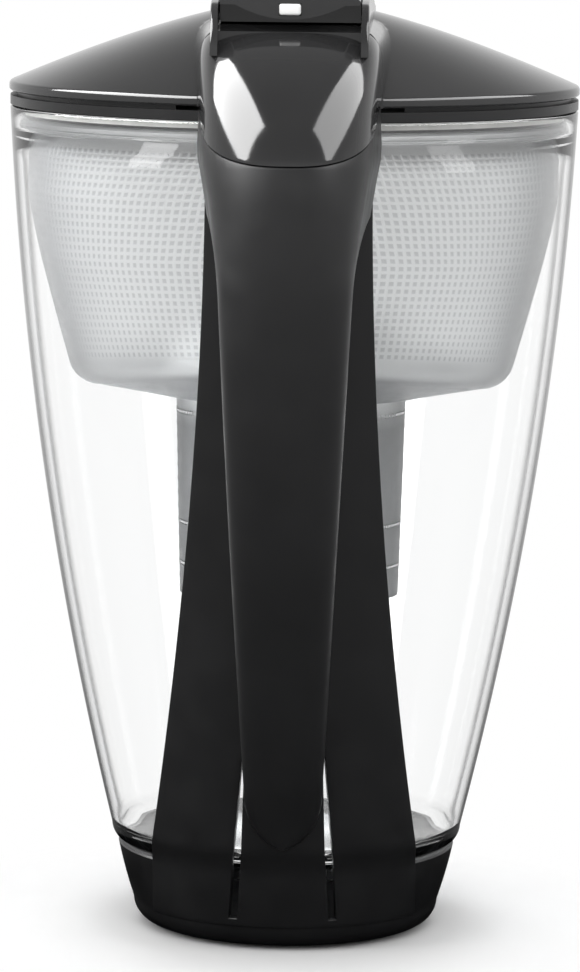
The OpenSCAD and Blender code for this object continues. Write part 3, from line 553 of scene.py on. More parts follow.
def panel_form():
    """A grid bent round the jug, opened at the slits, thickened inwards and rounded at its edges."""
    leg, centre = 10, 16
    levels = steps(panel_low_z, slit_low_z, 1) + steps(slit_low_z, slit_top_z, 30)[1:]
    levels += steps(slit_top_z, panel_top_z, 60)[1:]
    form = bmesh.new()
    columns = 2 * leg + centre + 2
    grid = bmesh.ops.create_grid(form, x_segments=columns, y_segments=len(levels) - 1, size=1)
    for point in grid["verts"]:
        column = round((point.co.x + 1) / 2 * columns)
        z = levels[round((point.co.y + 1) / 2 * (len(levels) - 1))]
        near, far = slit_x(z)
        marks = (steps(-panel_half(z), -far, leg) + steps(-near, near, centre)
            + steps(far, panel_half(z), leg))
        x = marks[column]
        point.co = (x, -math.sqrt(panel_r(z) ** 2 - x * x), z)
    gaps = []
    for face in form.faces:
        middle = face.calc_center_median()
        near, far = slit_x(middle.z)
        if near < abs(middle.x) < far and slit_low_z < middle.z < slit_top_z:
            gaps.append(face)
    bmesh.ops.delete(form, geom=gaps, context="FACES")
    bmesh.ops.recalc_face_normals(form, faces=form.faces)
    if sum(face.normal.y for face in form.faces) > 0:
        bmesh.ops.reverse_faces(form, faces=form.faces)
    bmesh.ops.solidify(form, geom=form.faces, thickness=panel_t)
    sharp = [edge for edge in form.edges if edge.calc_face_angle(0) > math.radians(60)]
    bmesh.ops.bevel(form, geom=sharp, offset=panel_edge, segments=3, profile=0.5,
        affect="EDGES", material=-1, clamp_overlap=True)
    return form


panel_dark = dark_plastic("panel_dark", (0.008, 0.008, 0.0085), 0.38)
finished("back_panel", panel_form(), panel_dark, "pitcher", ["spine_panel"])

# ---- Handle ----
# A swept grip in two moulded shells, a broad outer one and a finger-side one screwed to it. It grows
# out of the panel's centre leg, bends over at the top and meets the lid's tail in a sloping seam.
grip_low, grip_high = [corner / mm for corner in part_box("handle_grip")]
grip_reach = -grip_low.y
grip_low_z = 32
grip_low_reach = 56
grip_bulge_z = 209
grip_low_t = 12
grip_high_t = 18.3
grip_low_half = 10.9
grip_high_half = 17
turn_z = grip_bulge_z - 15
turn_h = 18.5
neck_front = 51
tongue_h = 15.2
flare_z = turn_z - 3
flare_w = 2.6
band_half = 31
side_slope = 0.075
band_top_z = 264
tail_centre_r = 70
tail_power = 2.4
tail_cap = 24
end_power = 2.6
seam_rear_r, seam_rear_z = 128.5, rim_z - 8.2
seam_front_r, seam_front_z = 84, rim_z + 7
seam_slope = (seam_front_z - seam_rear_z) / (seam_rear_r - seam_front_r)
seam_gap = 0.4
seam_round = 0.45
liner_depth = 6.5
parting = 0.12


def root(value, power):
    """One coordinate of a squared-off circle: a circle at a power of 2, squarer above it."""
    return math.copysign(abs(value) ** (2 / power), value)


def fall(t, power):
    """A quarter of a squared-off circle, from one down to nothing as t goes from 0 to 1."""
    return max(0, 1 - max(0, t) ** power) ** (1 / power)


def outer_reach(z):
    """Reach of the handle's outer face behind the axis at a height."""
    if z < grip_bulge_z:
        wave = math.sin(math.pi / 2 * (z - grip_low_z) / (grip_bulge_z - grip_low_z))
        return grip_low_reach + (grip_reach - grip_low_reach) * wave
    rise = (z - grip_bulge_z) / (band_top_z - grip_bulge_z)
    return tail_centre_r + (grip_reach - tail_centre_r) * fall(rise, tail_power)


def inner_reach(z, deeper=0):
    """Reach of the finger-side face behind the axis at a height, or of a face deeper in."""
    if z < turn_z:
        thick = grip_low_t + (grip_high_t - grip_low_t) * (z - grip_low_z) / (turn_z - grip_low_z)
        return outer_reach(z) - thick + deeper
    return neck_front + (outer_reach(turn_z) - grip_high_t + deeper - neck_front) * fall(
        (z - turn_z) / (turn_h + deeper), 2)


def side_line(reach):
    """Half width of the lid's band and tail at a reach behind the axis."""
    return band_half - side_slope * reach


def grip_half(z):
    """Half width of the handle's outer face at a height."""
    top = min(z, seam_rear_z)
    rise = (top - slit_top_z + 6) / (flare_z - slit_top_z + 6)
    flare = flare_w * (max(0, top - flare_z) / (seam_rear_z - flare_z)) ** 2
    tongue = fall((grip_low_z + tongue_h - z) / tongue_h, 2)
    return (grip_low_half + (grip_high_half - grip_low_half) * rise + flare) * tongue


def level(rear, front, half_rear, half_front, z, count=96):
    """One level of the handle or tail: straight sides that widen forward, and rounded ends."""
    half_len = (rear - front) / 2
    turned_in = min(1, max(0, z - turn_z) / (seam_rear_z - turn_z))
    cap = min(grip_high_t / 2 + (tail_cap - grip_high_t / 2) * turned_in, half_len)
    ring = []
    for i in range(count):
        a = math.tau * i / count
        turn = root(math.sin(a), end_power)
        y = -(rear + front) / 2 + (half_len - cap) * (turn > 0) - (half_len - cap) * (turn < 0)
        y += cap * turn
        half = half_rear + (half_front - half_rear) * (y + rear) / (rear - front)
        ring.append((half * root(math.cos(a), end_power), y, z))
    return ring


def lofted(rings):
    """A closed skin: the first ring is a drawn circle, and each next one is extruded from it."""
    form = bmesh.new()
    ring = bmesh.ops.create_circle(form, segments=len(rings[0]), radius=1)["verts"]
    for vert, point in zip(ring, rings[0]):
        vert.co = point
    form.faces.new(ring)
    edges = [form.edges.get((a, b)) for a, b in zip(ring, ring[1:] + ring[:1])]
    for points in rings[1:]:
        made = bmesh.ops.extrude_edge_only(form, edges=edges)["geom"]
        fresh = {part for part in made if isinstance(part, bmesh.types.BMVert)}
        ring = [next(edge.other_vert(vert) for edge in vert.link_edges
            if edge.other_vert(vert) in fresh) for vert in ring]
        for vert, point in zip(ring, points):
            vert.co = point
        edges = [form.edges.get((a, b)) for a, b in zip(ring, ring[1:] + ring[:1])]
    form.faces.new(ring)
    bmesh.ops.recalc_face_normals(form, faces=form.faces)
    return form


def handle_ring(z):
    """The handle's outline at one height."""
    rear, front = outer_reach(z), inner_reach(z)
    share = grip_half(z) / side_line(rear)
    return level(rear, front, grip_half(z), share * side_line(front), z)


def trimmed(form, point, normal, rounding):
    """Cuts away what lies beyond a plane, closes the cut and rounds its edge."""
    cut = bmesh.ops.bisect_plane(form, geom=form.verts[:] + form.edges[:] + form.faces[:],
        dist=0.0001, plane_co=point, plane_no=normal, clear_outer=True)["geom_cut"]
    rim = [part for part in cut if isinstance(part, bmesh.types.BMEdge)]
    bmesh.ops.edgeloop_fill(form, edges=rim)
    bmesh.ops.bevel(form, geom=rim, offset=rounding, segments=3, profile=0.5, affect="EDGES",
        material=-1, clamp_overlap=True)
    return form


def side_prism(outline, half):
    """A closed side outline of (y, z) points, drawn out to half on both sides."""
    form = bmesh.new()
    points = [form.verts.new((-half, y, z)) for y, z in outline]
    face = form.faces.new(points)
    drawn = bmesh.ops.extrude_face_region(form, geom=[face])["geom"]
    moved = [part for part in drawn if isinstance(part, bmesh.types.BMVert)]
    bmesh.ops.translate(form, vec=(2 * half, 0, 0), verts=moved)
    bmesh.ops.recalc_face_normals(form, faces=form.faces)
    return form


def handle_form():
    """The whole handle, trimmed at the seam and at the panel it grows out of."""
    tip = [grip_low_z + tongue_h * (1 - math.cos(math.radians(a))) for a in steps(4, 90, 12)]
    bend = [turn_z + turn_h * math.sin(math.radians(a)) for a in steps(0, 90, 14)]
    levels = (tip + steps(grip_low_z + tongue_h, turn_z, 26)[1:] + bend[1:]
        + steps(turn_z + turn_h, seam_front_z + 14, 12)[1:])
    form = lofted([handle_ring(z) for z in levels])
    slope = math.atan(seam_slope)
    trimmed(form, (0, -seam_rear_r, seam_rear_z - seam_gap),
        (0, -math.sin(slope), math.cos(slope)), seam_round)
    wall = [(0, panel_low_z - 5)] + [(panel_r(z) - 0.5, z) for z in steps(panel_low_z, rim_z, 60)]
    core = turned(wall + [(panel_r(rim_z) - 0.5, rim_z + 20), (0, rim_z + 20)], 160)
    return combined(form, core, "DIFFERENCE")


def liner_zone(shift):
    """The finger-side share of the handle, with its face moved by a shift."""
    low = grip_low_z + 31
    heights = steps(low + shift, turn_z, 20) + [turn_z + (turn_h + liner_depth) * math.sin(
        math.radians(a)) for a in steps(6, 90, 14)]
    curve = [(-inner_reach(z, liner_depth) - shift, z) for z in heights]
    return side_prism(curve + [(-30, heights[-1]), (-30, low + shift)], 60)


handle_dark = dark_plastic("handle_dark", (0.0095, 0.0095, 0.01), 0.4)
grip_form = combined(handle_form(), liner_zone(-parting), "DIFFERENCE")
finished("handle_grip_shell", grip_form, handle_dark, "pitcher", ["handle_grip"])
finger_form = combined(handle_form(), liner_zone(parting), "INTERSECT")
finished("handle_finger_shell", finger_form, handle_dark, "pitcher",
    ["handle_liner"])


def metal(name, colour, gloss):
    """Plated steel with a faint brushed drift."""
    material, tree, shader, place = blank(name)
    shader.inputs["Base Color"].default_value = (*colour, 1)
    shader.inputs["Metallic"].default_value = 1
    stretch = node(tree, "Mapping", Scale=(1, 1, 14))
    tree.links.new(place, stretch.inputs["Vector"])
    tree.links.new(drifting(tree, stretch.outputs[0], 0.002, gloss * 0.8, gloss * 1.3),
        shader.inputs["Roughness"])
    return material


steel = metal("plated_steel", (0.62, 0.62, 0.63), 0.3)
dress("handle_screws", steel)

# ---- Funnel ----
# One frosted moulding that hangs by its flange on the jug's ledge: a round bowl that narrows to a
# rounded oblong floor, with an oval sleeve below it for the cartridge. Rows of small dimples cover it.
flange_z = ledge_z + 0.35
flange_h = 2
flange_r = rim_in_r - 0.4
funnel_wall = 1.8
funnel_half_x = 75.6
funnel_half_y = 64
funnel_floor_z = 158
floor_half_x = 61.8
floor_half_y = 42
floor_arch = 4
floor_round = 6
floor_power = 2.8
funnel_bend_z = ledge_z - 18
sleeve_top_z = funnel_floor_z - 4
sleeve_len = 57
sleeve_low_z = sleeve_top_z - sleeve_len
sleeve_half_x = 33
sleeve_half_y = 25
sleeve_taper = 1.5
land_w = 3.2
flange_cut_half = spout_half - 5
flange_cut_y = rim_in_r - 9.4
dimple_pitch = 2.3
dimple_margin = 1.85
dimple_depth = 0.28
funnel_points = 192


def oval(half_x, half_y, z, power=2, arch=0, count=funnel_points):
    """An oval ring at one height, squarer as power grows, lifted at front and back by arch."""
    turn = [math.tau * i / count for i in range(count)]
    return [(half_x * root(math.cos(a), power), half_y * root(math.sin(a), power),
        z + arch * math.sin(a) ** 2) for a in turn]


def funnel_ring(z, inset, lift):
    """The bowl's outline at a height, drawn in by inset and raised by lift."""
    t = max(0, funnel_bend_z - z) / (funnel_bend_z - funnel_floor_z)
    s = (flange_z - z) / (flange_z - funnel_floor_z)
    drop = max(0, floor_round - (z - funnel_floor_z))
    cut = floor_round - math.sqrt(max(0, floor_round ** 2 - drop ** 2))
    return oval(funnel_half_x - (funnel_half_x - floor_half_x) * t ** 1.12 - cut - inset,
        funnel_half_y - (funnel_half_y - floor_half_y) * s - cut - inset,
        z + lift, 2 + (floor_power - 2) * min(1, 2 * s), floor_arch * s * s)


def sleeve_ring(z, inset, lift=0):
    """The sleeve's outline at a height."""
    narrow = sleeve_taper * (sleeve_top_z - z) / sleeve_len
    return oval(sleeve_half_x - narrow - inset, sleeve_half_y - narrow - inset, z + lift)


def flange_ring(radius, z):
    """The flange's rim, with a flat cut toward the spout."""
    return [(x, min(y, flange_cut_y) if abs(x) < flange_cut_half else y, z)
        for x, y, z in oval(radius, radius, z)]


def funnel_side(inset, low, rows):
    """The rings of one face of the funnel, from the sleeve's end up to the flange."""
    edge = [funnel_ring(funnel_floor_z + floor_round * k, inset, inset)
        for k in (0, 0.05, 0.15, 0.3, 0.5, 0.75, 1)]
    bowl_low = funnel_floor_z + floor_round
    land = oval(sleeve_half_x + land_w - inset, sleeve_half_y + land_w - inset,
        sleeve_top_z + 0.4 + inset)
    return ([sleeve_ring(z, inset) for z in steps(sleeve_low_z + low, sleeve_top_z - 1, rows)]
        + [sleeve_ring(sleeve_top_z, inset, inset), land] + edge
        + [funnel_ring(z, inset, 0) for z in steps(bowl_low, flange_z, rows + 2)[1:]])


def funnel_form():
    """The funnel's two faces and its flange as one skin, with dimples pressed into its outside."""
    rows = 28
    outside = funnel_side(0, 0, rows)
    inside = funnel_side(funnel_wall, funnel_wall, rows)
    rings = outside + [flange_ring(flange_r - 0.4, flange_z), flange_ring(flange_r, flange_z + 0.4),
        flange_ring(flange_r, flange_z + flange_h - 0.5),
        flange_ring(flange_r - 0.5, flange_z + flange_h)]
    rings.append(funnel_ring(flange_z + flange_h, funnel_wall, 0))
    form = lofted(rings + inside[::-1])
    form.faces.ensure_lookup_table()
    count = funnel_points
    first_bowl = rows + 1 + 2 + 7
    picked = []
    for index, face in enumerate(form.faces[1:-1]):
        ring, column = divmod(index, count)
        on_bowl = first_bowl <= ring < len(outside) - 2
        on_sleeve = 0 < ring < rows - 1 and ring % 2 == 0 and column % 2 == 0
        if on_bowl or on_sleeve:
            picked.append(face)
    mark = form.verts.layers.float.new("dimple")
    bmesh.ops.inset_individual(form, faces=picked, thickness=dimple_margin / 2, depth=0)
    for face in picked:
        size = min(1, face.calc_area() / 1.2)
        push = face.normal * dimple_depth * size
        for vert in face.verts:
            vert[mark] = 1
            vert.co -= push
    return form


def frosted_plastic():
    """Milky frosted plastic that blurs and softens what is behind it, with painted shade: greyer in the
    dimples, towards its outline and on the sleeve.
    """
    material, tree, shader, place = blank("frosted_plastic")
    # Painted shade: the dimples are painted greyer than the frosted skin.
    spots = node(tree, "Attribute", attribute_name="dimple")
    tone = node(tree, "Mix", data_type="RGBA")
    tone.inputs["A"].default_value = (0.85, 0.855, 0.855, 1)
    tone.inputs["B"].default_value = (0.5, 0.505, 0.51, 1)
    dimple_painted_shade = node(tree, "MapRange", From_Min=0.55, From_Max=0.95)
    tree.links.new(spots.outputs["Fac"], dimple_painted_shade.inputs["Value"])
    tree.links.new(dimple_painted_shade.outputs["Result"], tone.inputs["Factor"])
    # Painted shade: the colour is blended to grey where the surface is seen edge-on.
    shade_facing = node(tree, "LayerWeight", Blend=0.5)
    edge = node(tree, "MapRange", interpolation_type="SMOOTHSTEP", From_Min=0.25, From_Max=0.65)
    tree.links.new(shade_facing.outputs["Facing"], edge.inputs["Value"])
    smoke = node(tree, "Mix", data_type="RGBA")
    smoke.inputs["B"].default_value = (0.34, 0.345, 0.35, 1)
    tree.links.new(edge.outputs["Result"], smoke.inputs["Factor"])
    tree.links.new(tone.outputs["Result"], smoke.inputs["A"])
    # Painted shade: below the funnel's floor the sleeve is painted about half as bright, standing in for
    # the shade of the cartridge inside it.
    height = node(tree, "SeparateXYZ")
    tree.links.new(place, height.inputs[0])
    low = node(tree, "MapRange", From_Min=(funnel_floor_z - 6) * mm,
        From_Max=(funnel_floor_z - 12) * mm)
    tree.links.new(height.outputs["Z"], low.inputs["Value"])
    sleeve_painted_shade = node(tree, "Mix", data_type="RGBA", blend_type="MULTIPLY")
    sleeve_painted_shade.inputs["B"].default_value = (0.5, 0.505, 0.51, 1)
    tree.links.new(low.outputs["Result"], sleeve_painted_shade.inputs["Factor"])
    tree.links.new(smoke.outputs["Result"], sleeve_painted_shade.inputs["A"])
    tree.links.new(sleeve_painted_shade.outputs["Result"], shader.inputs["Base Color"])
    shader.inputs["Transmission Weight"].default_value = 0.94
    shader.inputs["IOR"].default_value = 1.3
    shader.inputs["Specular IOR Level"].default_value = 0.4
    tree.links.new(drifting(tree, place, 0.004, 0.34, 0.5), shader.inputs["Roughness"])
    frost = node(tree, "Bump", Strength=0.25, Distance=0.0001)
    tree.links.new(drifting(tree, place, 0.0005, 0, 1), frost.inputs["Height"])
    tree.links.new(frost.outputs[0], shader.inputs["Normal"])
    see_through(tree, shader, 0.75, (0.8, 0.81, 0.82, 1))
    return material


frosted = frosted_plastic()
finished("frosted_funnel", funnel_form(), frosted, "funnel", ["hopper"])

# ---- Filter cartridge ----
# A white oval cartridge: a shell full of dark granulate between two meshes, a slotted cap with a
# ring to pull it by, and a soft seal under its brim.


def satin_plastic(name, colour, gloss):
    """Pale satin plastic with a fine moulded grain."""
    material, tree, shader, place = blank(name)
    tone = node(tree, "Mix", data_type="RGBA")
    tone.inputs["A"].default_value = (*[c * 0.94 for c in colour], 1)
    tone.inputs["B"].default_value = (*colour, 1)
    tree.links.new(drifting(tree, place, 0.02, 0, 1), tone.inputs["Factor"])
    tree.links.new(tone.outputs["Result"], shader.inputs["Base Color"])
    tree.links.new(drifting(tree, place, 0.008, gloss * 0.85, gloss * 1.15),
        shader.inputs["Roughness"])
    grain = node(tree, "Bump", Strength=0.1, Distance=0.00005)
    tree.links.new(drifting(tree, place, 0.0008, 0, 1), grain.inputs["Height"])
    tree.links.new(grain.outputs[0], shader.inputs["Normal"])
    return material


def smooth_copy(name, source, material, body, crease=28):
    """A welded copy of a frame node, smoothed up to its creases, that stands in for it."""
    form = bmesh.new()
    form.from_mesh(cad_nodes[source].data)
    bmesh.ops.scale(form, vec=(1 / mm, 1 / mm, 1 / mm), verts=form.verts)
    return finished(name, form, material, body, [source], crease)


def granulate():
    """Dark filter granules packed together."""
    material, tree, shader, place = blank("granulate")
    grains = node(tree, "TexVoronoi", Scale=900)
    tree.links.new(place, grains.inputs["Vector"])
    tone = node(tree, "Mix", data_type="RGBA")
    tone.inputs["A"].default_value = (0.02, 0.02, 0.02, 1)
    tone.inputs["B"].default_value = (0.16, 0.15, 0.14, 1)
    tree.links.new(grains.outputs["Color"], tone.inputs["Factor"])
    tree.links.new(tone.outputs["Result"], shader.inputs["Base Color"])
    shader.inputs["Roughness"].default_value = 0.8
    rough = node(tree, "Bump", Strength=0.8, Distance=0.0005)
    tree.links.new(grains.outputs["Distance"], rough.inputs["Height"])
    tree.links.new(rough.outputs[0], shader.inputs["Normal"])
    return material


def woven_mesh():
    """Fine pale woven mesh."""
    material, tree, shader, place = blank("woven_mesh")
    weave = node(tree, "TexWave", Scale=280)
    tree.links.new(place, weave.inputs["Vector"])
    tone = node(tree, "Mix", data_type="RGBA")
    tone.inputs["A"].default_value = (0.42, 0.42, 0.41, 1)
    tone.inputs["B"].default_value = (0.84, 0.84, 0.82, 1)
    tree.links.new(weave.outputs["Fac"], tone.inputs["Factor"])
    tree.links.new(tone.outputs["Result"], shader.inputs["Base Color"])
    shader.inputs["Roughness"].default_value = 0.85
    return material


# The underside of the jug's floor is frosted: a pale skin just below the clear moulding.
frost_r = collar_r - collar_t - 0.2
frost_z = skirt_h - 0.3
frost_form = turned([(0, frost_z), (frost_r, frost_z), (frost_r, frost_z + 0.2),
    (0, frost_z + 0.2)], 96)
finished("floor_frost", frost_form, satin_plastic("frosted_skin", (0.93, 0.935, 0.935), 0.6),
    "pitcher")

white_satin = satin_plastic("cartridge_white", (0.82, 0.82, 0.81), 0.42)
smooth_copy("cartridge_case", "cartridge_shell", white_satin, "cartridge")
smooth_copy("cartridge_top", "cartridge_cap", white_satin, "cartridge")
dress("cartridge_media", granulate())
mesh_cloth = woven_mesh()
dress("cartridge_mesh_top", mesh_cloth)
dress("cartridge_mesh_bottom", mesh_cloth)
pale_rubber = rubber("pale_rubber", (0.5, 0.5, 0.48))
smooth_copy("cartridge_gasket", "cartridge_seal", pale_rubber, "cartridge")

# ---- Lid ----
# A dark glossy shell over a flat liner: a dome with a rounded edge, a raised band that runs from the
# tail over the handle to the nose over the spout, and the surround of the flap on top of the band.
lid_box = [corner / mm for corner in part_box("lid_shell")]
lid_r = lid_box[1].x
lid_edge_z = rim_z + 4.2
lid_rim_h = 2.5
dome_z = lid_edge_z + lid_rim_h
dome_h = 24.5
dome_power = 1.45
dome_edge = 1.3
lid_wall = 2.2
nose_reach = lid_box[1].y
nose_half = 16
nose_round = 16
band_power = 5
band_rear = 79
pin_y = 8
pin_z = band_top_z - 1
barrel_r = 4.2
barrel_gap = 2
crown_h = 8
crown_y = -60
crown_proud = 1.2
flap_top_z = band_top_z + crown_h
rail_t = 2
rail_rear = 92
surround_front = pin_y + barrel_r + barrel_gap
surround_half_0 = 22.6
surround_slope = 0.0155
ramp_len = 24
rail_run = 9
rail_low_z = band_top_z - 8
pocket_floor_z = band_top_z - 0.4
fill_len = 58
fill_half = 17
fill_front = pin_y - barrel_r - 3
chute_wall = 1.6


def dome_level(r):
    """Height of the dome at a distance from the axis."""
    return dome_z + dome_h * (1 - (r / lid_r) ** dome_power)


def surround_half(y):
    """Half width of the flap's surround at a place along the lid."""
    return surround_half_0 + surround_slope * y


def band_top(y):
    """Height of the band's top at a place along the lid."""
    return band_top_z - (band_top_z - dome_z) * (max(0, y - 6) / (nose_reach - 6)) ** 2


def band_side(y, tip):
    """Half width of the band at a place along the lid."""
    if y < 0:
        return side_line(-y)
    swept = band_half - (band_half - nose_half) * (y / nose_reach) ** 1.7
    return swept * fall((y - tip + nose_round) / nose_round, 2.2)


def flap_top(y):
    """Height of the flap's crown at a place along the lid."""
    fallen = (y - crown_y) / (pin_y - crown_y)
    return flap_top_z - (flap_top_z - pin_z - barrel_r) * fallen ** 2


def dome_form(inset):
    """The dome with its rounded edge, or the space under it."""
    low = lid_edge_z - (1 if inset else 0)
    radii = steps(lid_r - inset - 1.2, 0, 40)
    edge = arc((lid_r - inset - dome_edge, dome_level(lid_r - 0.6 * dome_edge) - inset
        - 0.915 * dome_edge), dome_edge, 0, 66, 8)
    foot = [(0, low), (lid_r - inset - 0.5, low), (lid_r - inset, low + 0.5)]
    return turned(foot + edge + [(r, dome_level(r) - inset) for r in radii], 240)


def band_form(inset):
    """The band as slices across the lid: flat below, square-shouldered on top."""
    tip = nose_reach - inset
    stations = (steps(-band_rear + 2 * inset, 0, 16) + steps(0, tip - nose_round, 18)[1:]
        + [tip - nose_round * (1 - math.sin(math.radians(a))) for a in steps(0, 86, 14)][1:])
    rings = []
    for y in stations:
        top = band_top(y) - inset
        low = lid_edge_z - (1 if inset else 0)
        half = max(0.4, band_side(y, tip) - inset)
        turn = [math.pi * i / 60 for i in range(61)]
        rings.append([(half * root(math.cos(a), band_power), y,
            low + (top - low) * root(math.sin(a), band_power)) for a in turn])
    return lofted(rings)


def tail_form(inset):
    """The tail over the handle, or the space inside it."""
    top = band_top_z - inset
    low = seam_rear_z - 3
    levels = steps(low, top - 10, 12) + [top - 10 + 9.95 * math.sin(math.radians(a))
        for a in steps(0, 90, 14)][1:]
    rings = []
    for z in levels:
        rear = outer_reach(min(band_top_z, z + inset)) - inset * 0.8
        slim = fall((z - lid_edge_z) / (top - lid_edge_z), band_power)
        rings.append(level(rear, neck_front + inset, side_line(rear) * slim - inset,
            side_line(neck_front) * slim - inset, z))
    form = lofted(rings)
    if not inset:
        slope = math.atan(seam_slope)
        trimmed(form, (0, -seam_rear_r, seam_rear_z), (0, math.sin(slope), -math.cos(slope)),
            seam_round)
    return form


def surround_slice(y, top):
    """One slice of the flap's surround, with its shoulders a little rounded."""
    half = surround_half(y)
    soft = min(0.7, (top - rail_low_z) / 2)
    return [(half, y, rail_low_z - 0.1), (half, y, top - soft), (half - 0.3 * soft, y, top - 0.3 * soft),
        (half - soft, y, top), (soft - half, y, top), (0.3 * soft - half, y, top - 0.3 * soft),
        (-half, y, top - soft), (-half, y, rail_low_z - 0.1)]


def surround_form():
    """The flap's surround: a ramp in front of the hinge, two rails that run down into the tail."""
    crown = [(y, flap_top(y) - crown_proud) for y in steps(-rail_rear + 6, pin_y, 24)]
    rail_h = flap_top(-rail_rear) - crown_proud - rail_low_z
    rear = [(1.3 * rail_run * (1 - math.cos(math.radians(a))) - rail_rear - rail_run,
        rail_low_z + rail_h * math.sin(math.radians(a))) for a in steps(2, 90, 12)]
    start, end = crown[-1][1], band_top(surround_front + ramp_len) - 0.8
    ramp = [(surround_front + 1 + (ramp_len - 1) * t,
        end + (start - end) * (1 - t) ** 1.6) for t in steps(0, 1, 12)]
    form = lofted([surround_slice(y, top) for y, top in rear + crown + ramp])
    between = block((-1, -rail_rear - rail_run - 1, rail_low_z - 1), (1, -rail_rear, flap_top_z))
    for vert in between.verts:
        vert.co.x *= surround_half(vert.co.y) - rail_t
    return combined(form, between, "DIFFERENCE")


def block(low, high):
    """A plain box from its lowest to its highest corner, for cutting."""
    form = bmesh.new()
    cube = bmesh.ops.create_cube(form, size=1)["verts"]
    bmesh.ops.scale(form, vec=[b - a for a, b in zip(low, high)], verts=cube)
    bmesh.ops.translate(form, vec=[(a + b) / 2 for a, b in zip(low, high)], verts=cube)
    return form


def scoop_form():
    """The finger scoop behind the flap, a round trough across the band."""
    half = surround_half(-rail_rear) - rail_t
    form = bmesh.new()
    bmesh.ops.create_cone(form, cap_ends=True, segments=96, radius1=10, radius2=10,
        depth=2 * half)
    bmesh.ops.rotate(form, cent=(0, 0, 0), matrix=Matrix.Rotation(math.pi / 2, 3, "Y"),
        verts=form.verts)
    bmesh.ops.translate(form, vec=(0, 1 - rail_rear, pocket_floor_z + 8.4), verts=form.verts)
    return form


def pocket_form():
    """The flap's pocket inside its surround."""
    form = block((-1, -rail_rear - 10, pocket_floor_z), (1, surround_front, flap_top_z + 1))
    for vert in form.verts:
        vert.co.x *= surround_half(vert.co.y) - rail_t
    return form


def lid_form():
    """The lid's shell: its outer forms joined, its inner spaces and openings cut away."""
    form = combined(dome_form(0), band_form(0), "UNION")
    form = combined(form, tail_form(0), "UNION")
    form = combined(form, surround_form(), "UNION")
    for space in (dome_form(lid_wall), band_form(lid_wall), tail_form(lid_wall)):
        form = combined(form, space, "DIFFERENCE")
    wide = fill_half + chute_wall + 0.1
    fill = block((-wide, fill_front - fill_len - chute_wall - 0.1, rim_z),
        (wide, fill_front + chute_wall + 0.1, rim_z + 40))
    hinge = block((-fill_half - 3.9, pin_y - barrel_r - 1.6, pin_z - barrel_r - 1.2),
        (fill_half + 3.9, pin_y + barrel_r + 1.5, pin_z + 20))
    for space in (pocket_form(), scoop_form(), fill, hinge):
        form = combined(form, space, "DIFFERENCE")
    return form


lid_dark = dark_plastic("lid_dark", (0.024, 0.024, 0.0245), 0.09, level=0.45)
finished("lid_cover", lid_form(), lid_dark, "lid", ["lid_shell"], crease=38)
liner_dark = dark_plastic("liner_dark", (0.011, 0.011, 0.0115), 0.3)
dress("lid_liner", liner_dark)
dress("lid_gasket", pale_rubber)
dress("flap_pin", steel)

# ---- Flap ----
# A crowned flap lies in the surround and swings up about its pin for filling. A thin plate closes it
# below and carries the hinge barrel; its rear lip is arched for a fingertip.
flap_rear = rail_rear - 0.5
flap_front = pin_y - 1.2
flap_gap = 0.4
flap_low_z = band_top_z + 0.3
flap_skin = 1.8
lip_arch = 8
lip_low_z = band_top_z + 1.3
button_box = [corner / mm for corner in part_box("indicator_button")]


def flap_slice(y, inset):
    """One slice across the flap, crowned, with rounded shoulders."""
    half = surround_half(y) - rail_t - flap_gap - inset
    low, top = flap_low_z - (1 if inset else 0), flap_top(y) - inset
    soft = 1.1 if not inset else 0.4
    turn = [math.radians(a) for a in steps(0, 90, 5)]
    right = [(half - soft + soft * math.cos(a), y, top - soft + soft * math.sin(a)) for a in turn]
    left = [(-x, y, z) for x, y, z in reversed(right)]
    return [(half, y, low)] + right + left + [(-half, y, low)]


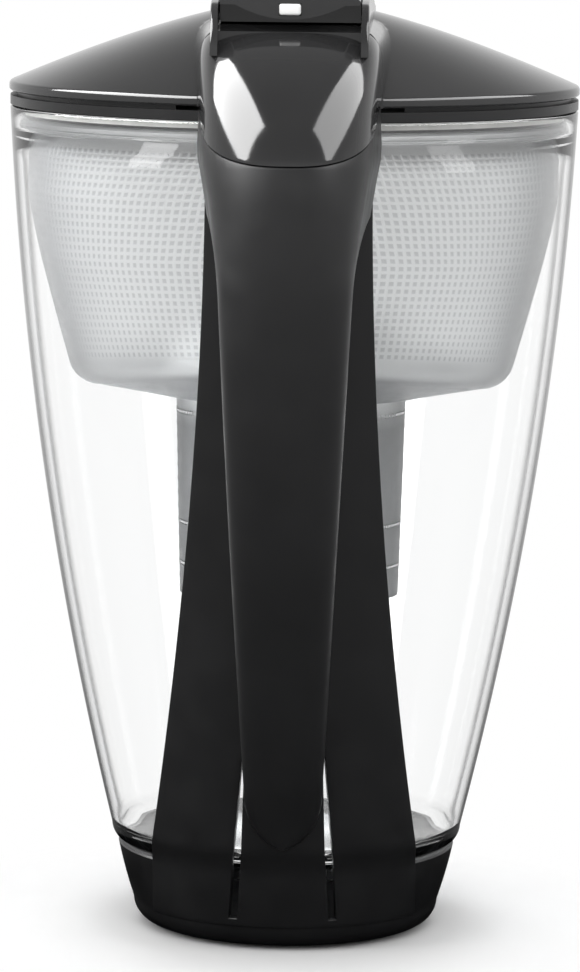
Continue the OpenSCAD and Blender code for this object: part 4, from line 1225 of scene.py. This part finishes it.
def flap_form():
    """The flap's shell: crowned skin, rear wall with an arched lip, and room for the barrel."""
    form = lofted([flap_slice(y, 0) for y in steps(-flap_rear, flap_front, 30)])
    room = lofted([flap_slice(y, flap_skin) for y in
        steps(-flap_rear + 10, pin_y - barrel_r - 2.4, 24)])
    form = combined(form, room, "DIFFERENCE")
    half = surround_half(-rail_rear)
    under_skin = flap_top(-flap_rear) - flap_skin
    curve = [(x, min(under_skin, lip_low_z + lip_arch * (x / half) ** 2))
        for x in steps(-half, half, 60)]
    arch = rear_prism(curve + [(half, lip_low_z - 6), (-half, lip_low_z - 6)],
        -flap_rear + 8, -flap_rear - 5)
    form = combined(form, arch, "DIFFERENCE")
    window = block((button_box[0].x - 0.1, -flap_rear - 2, button_box[0].z - 0.1),
        (button_box[1].x + 0.1, -flap_rear + 12, button_box[1].z + 0.1))
    form = combined(form, window, "DIFFERENCE")
    barrel = bmesh.new()
    bmesh.ops.create_cone(barrel, cap_ends=True, segments=64, radius1=barrel_r + 0.05,
        radius2=barrel_r + 0.05, depth=80)
    bmesh.ops.rotate(barrel, cent=(0, 0, 0), matrix=Matrix.Rotation(math.pi / 2, 3, "Y"),
        verts=barrel.verts)
    bmesh.ops.translate(barrel, vec=(0, pin_y, pin_z), verts=barrel.verts)
    return combined(form, barrel, "DIFFERENCE")


finished("flap_cover", flap_form(), lid_dark, "flap", ["flap_shell"])
dress("flap_liner", liner_dark)
dress("battery_cover", liner_dark)

# ---- Change reminder ----
# A small white button in the flap's rear lip works a switch on a little board inside the flap, which
# a coin cell feeds.


def circuit_lacquer():
    """Green lacquer over copper tracks."""
    material, tree, shader, place = blank("circuit_lacquer")
    tracks = node(tree, "TexBrick", Scale=260)
    tree.links.new(place, tracks.inputs["Vector"])
    tone = node(tree, "Mix", data_type="RGBA")
    tone.inputs["A"].default_value = (0.02, 0.09, 0.035, 1)
    tone.inputs["B"].default_value = (0.04, 0.15, 0.06, 1)
    tree.links.new(tracks.outputs["Fac"], tone.inputs["Factor"])
    tree.links.new(tone.outputs["Result"], shader.inputs["Base Color"])
    shader.inputs["Roughness"].default_value = 0.35
    return material


def button_form():
    """The button: a small block with all its edges rounded."""
    form = block(button_box[0], button_box[1])
    bmesh.ops.bevel(form, geom=form.edges[:], offset=0.7, segments=4, profile=0.5,
        affect="EDGES", material=-1, clamp_overlap=True)
    return form


button_white = satin_plastic("button_white", (0.86, 0.86, 0.85), 0.28)
finished("reminder_button", button_form(), button_white, "button",
    ["indicator_button"])
dress("indicator_board", circuit_lacquer())
dress("indicator_switch", steel)
dress("coin_cell", metal("cell_steel", (0.7, 0.7, 0.71), 0.25))

# ---- End ----
bpy.context.scene.view_settings.view_transform = "Standard"
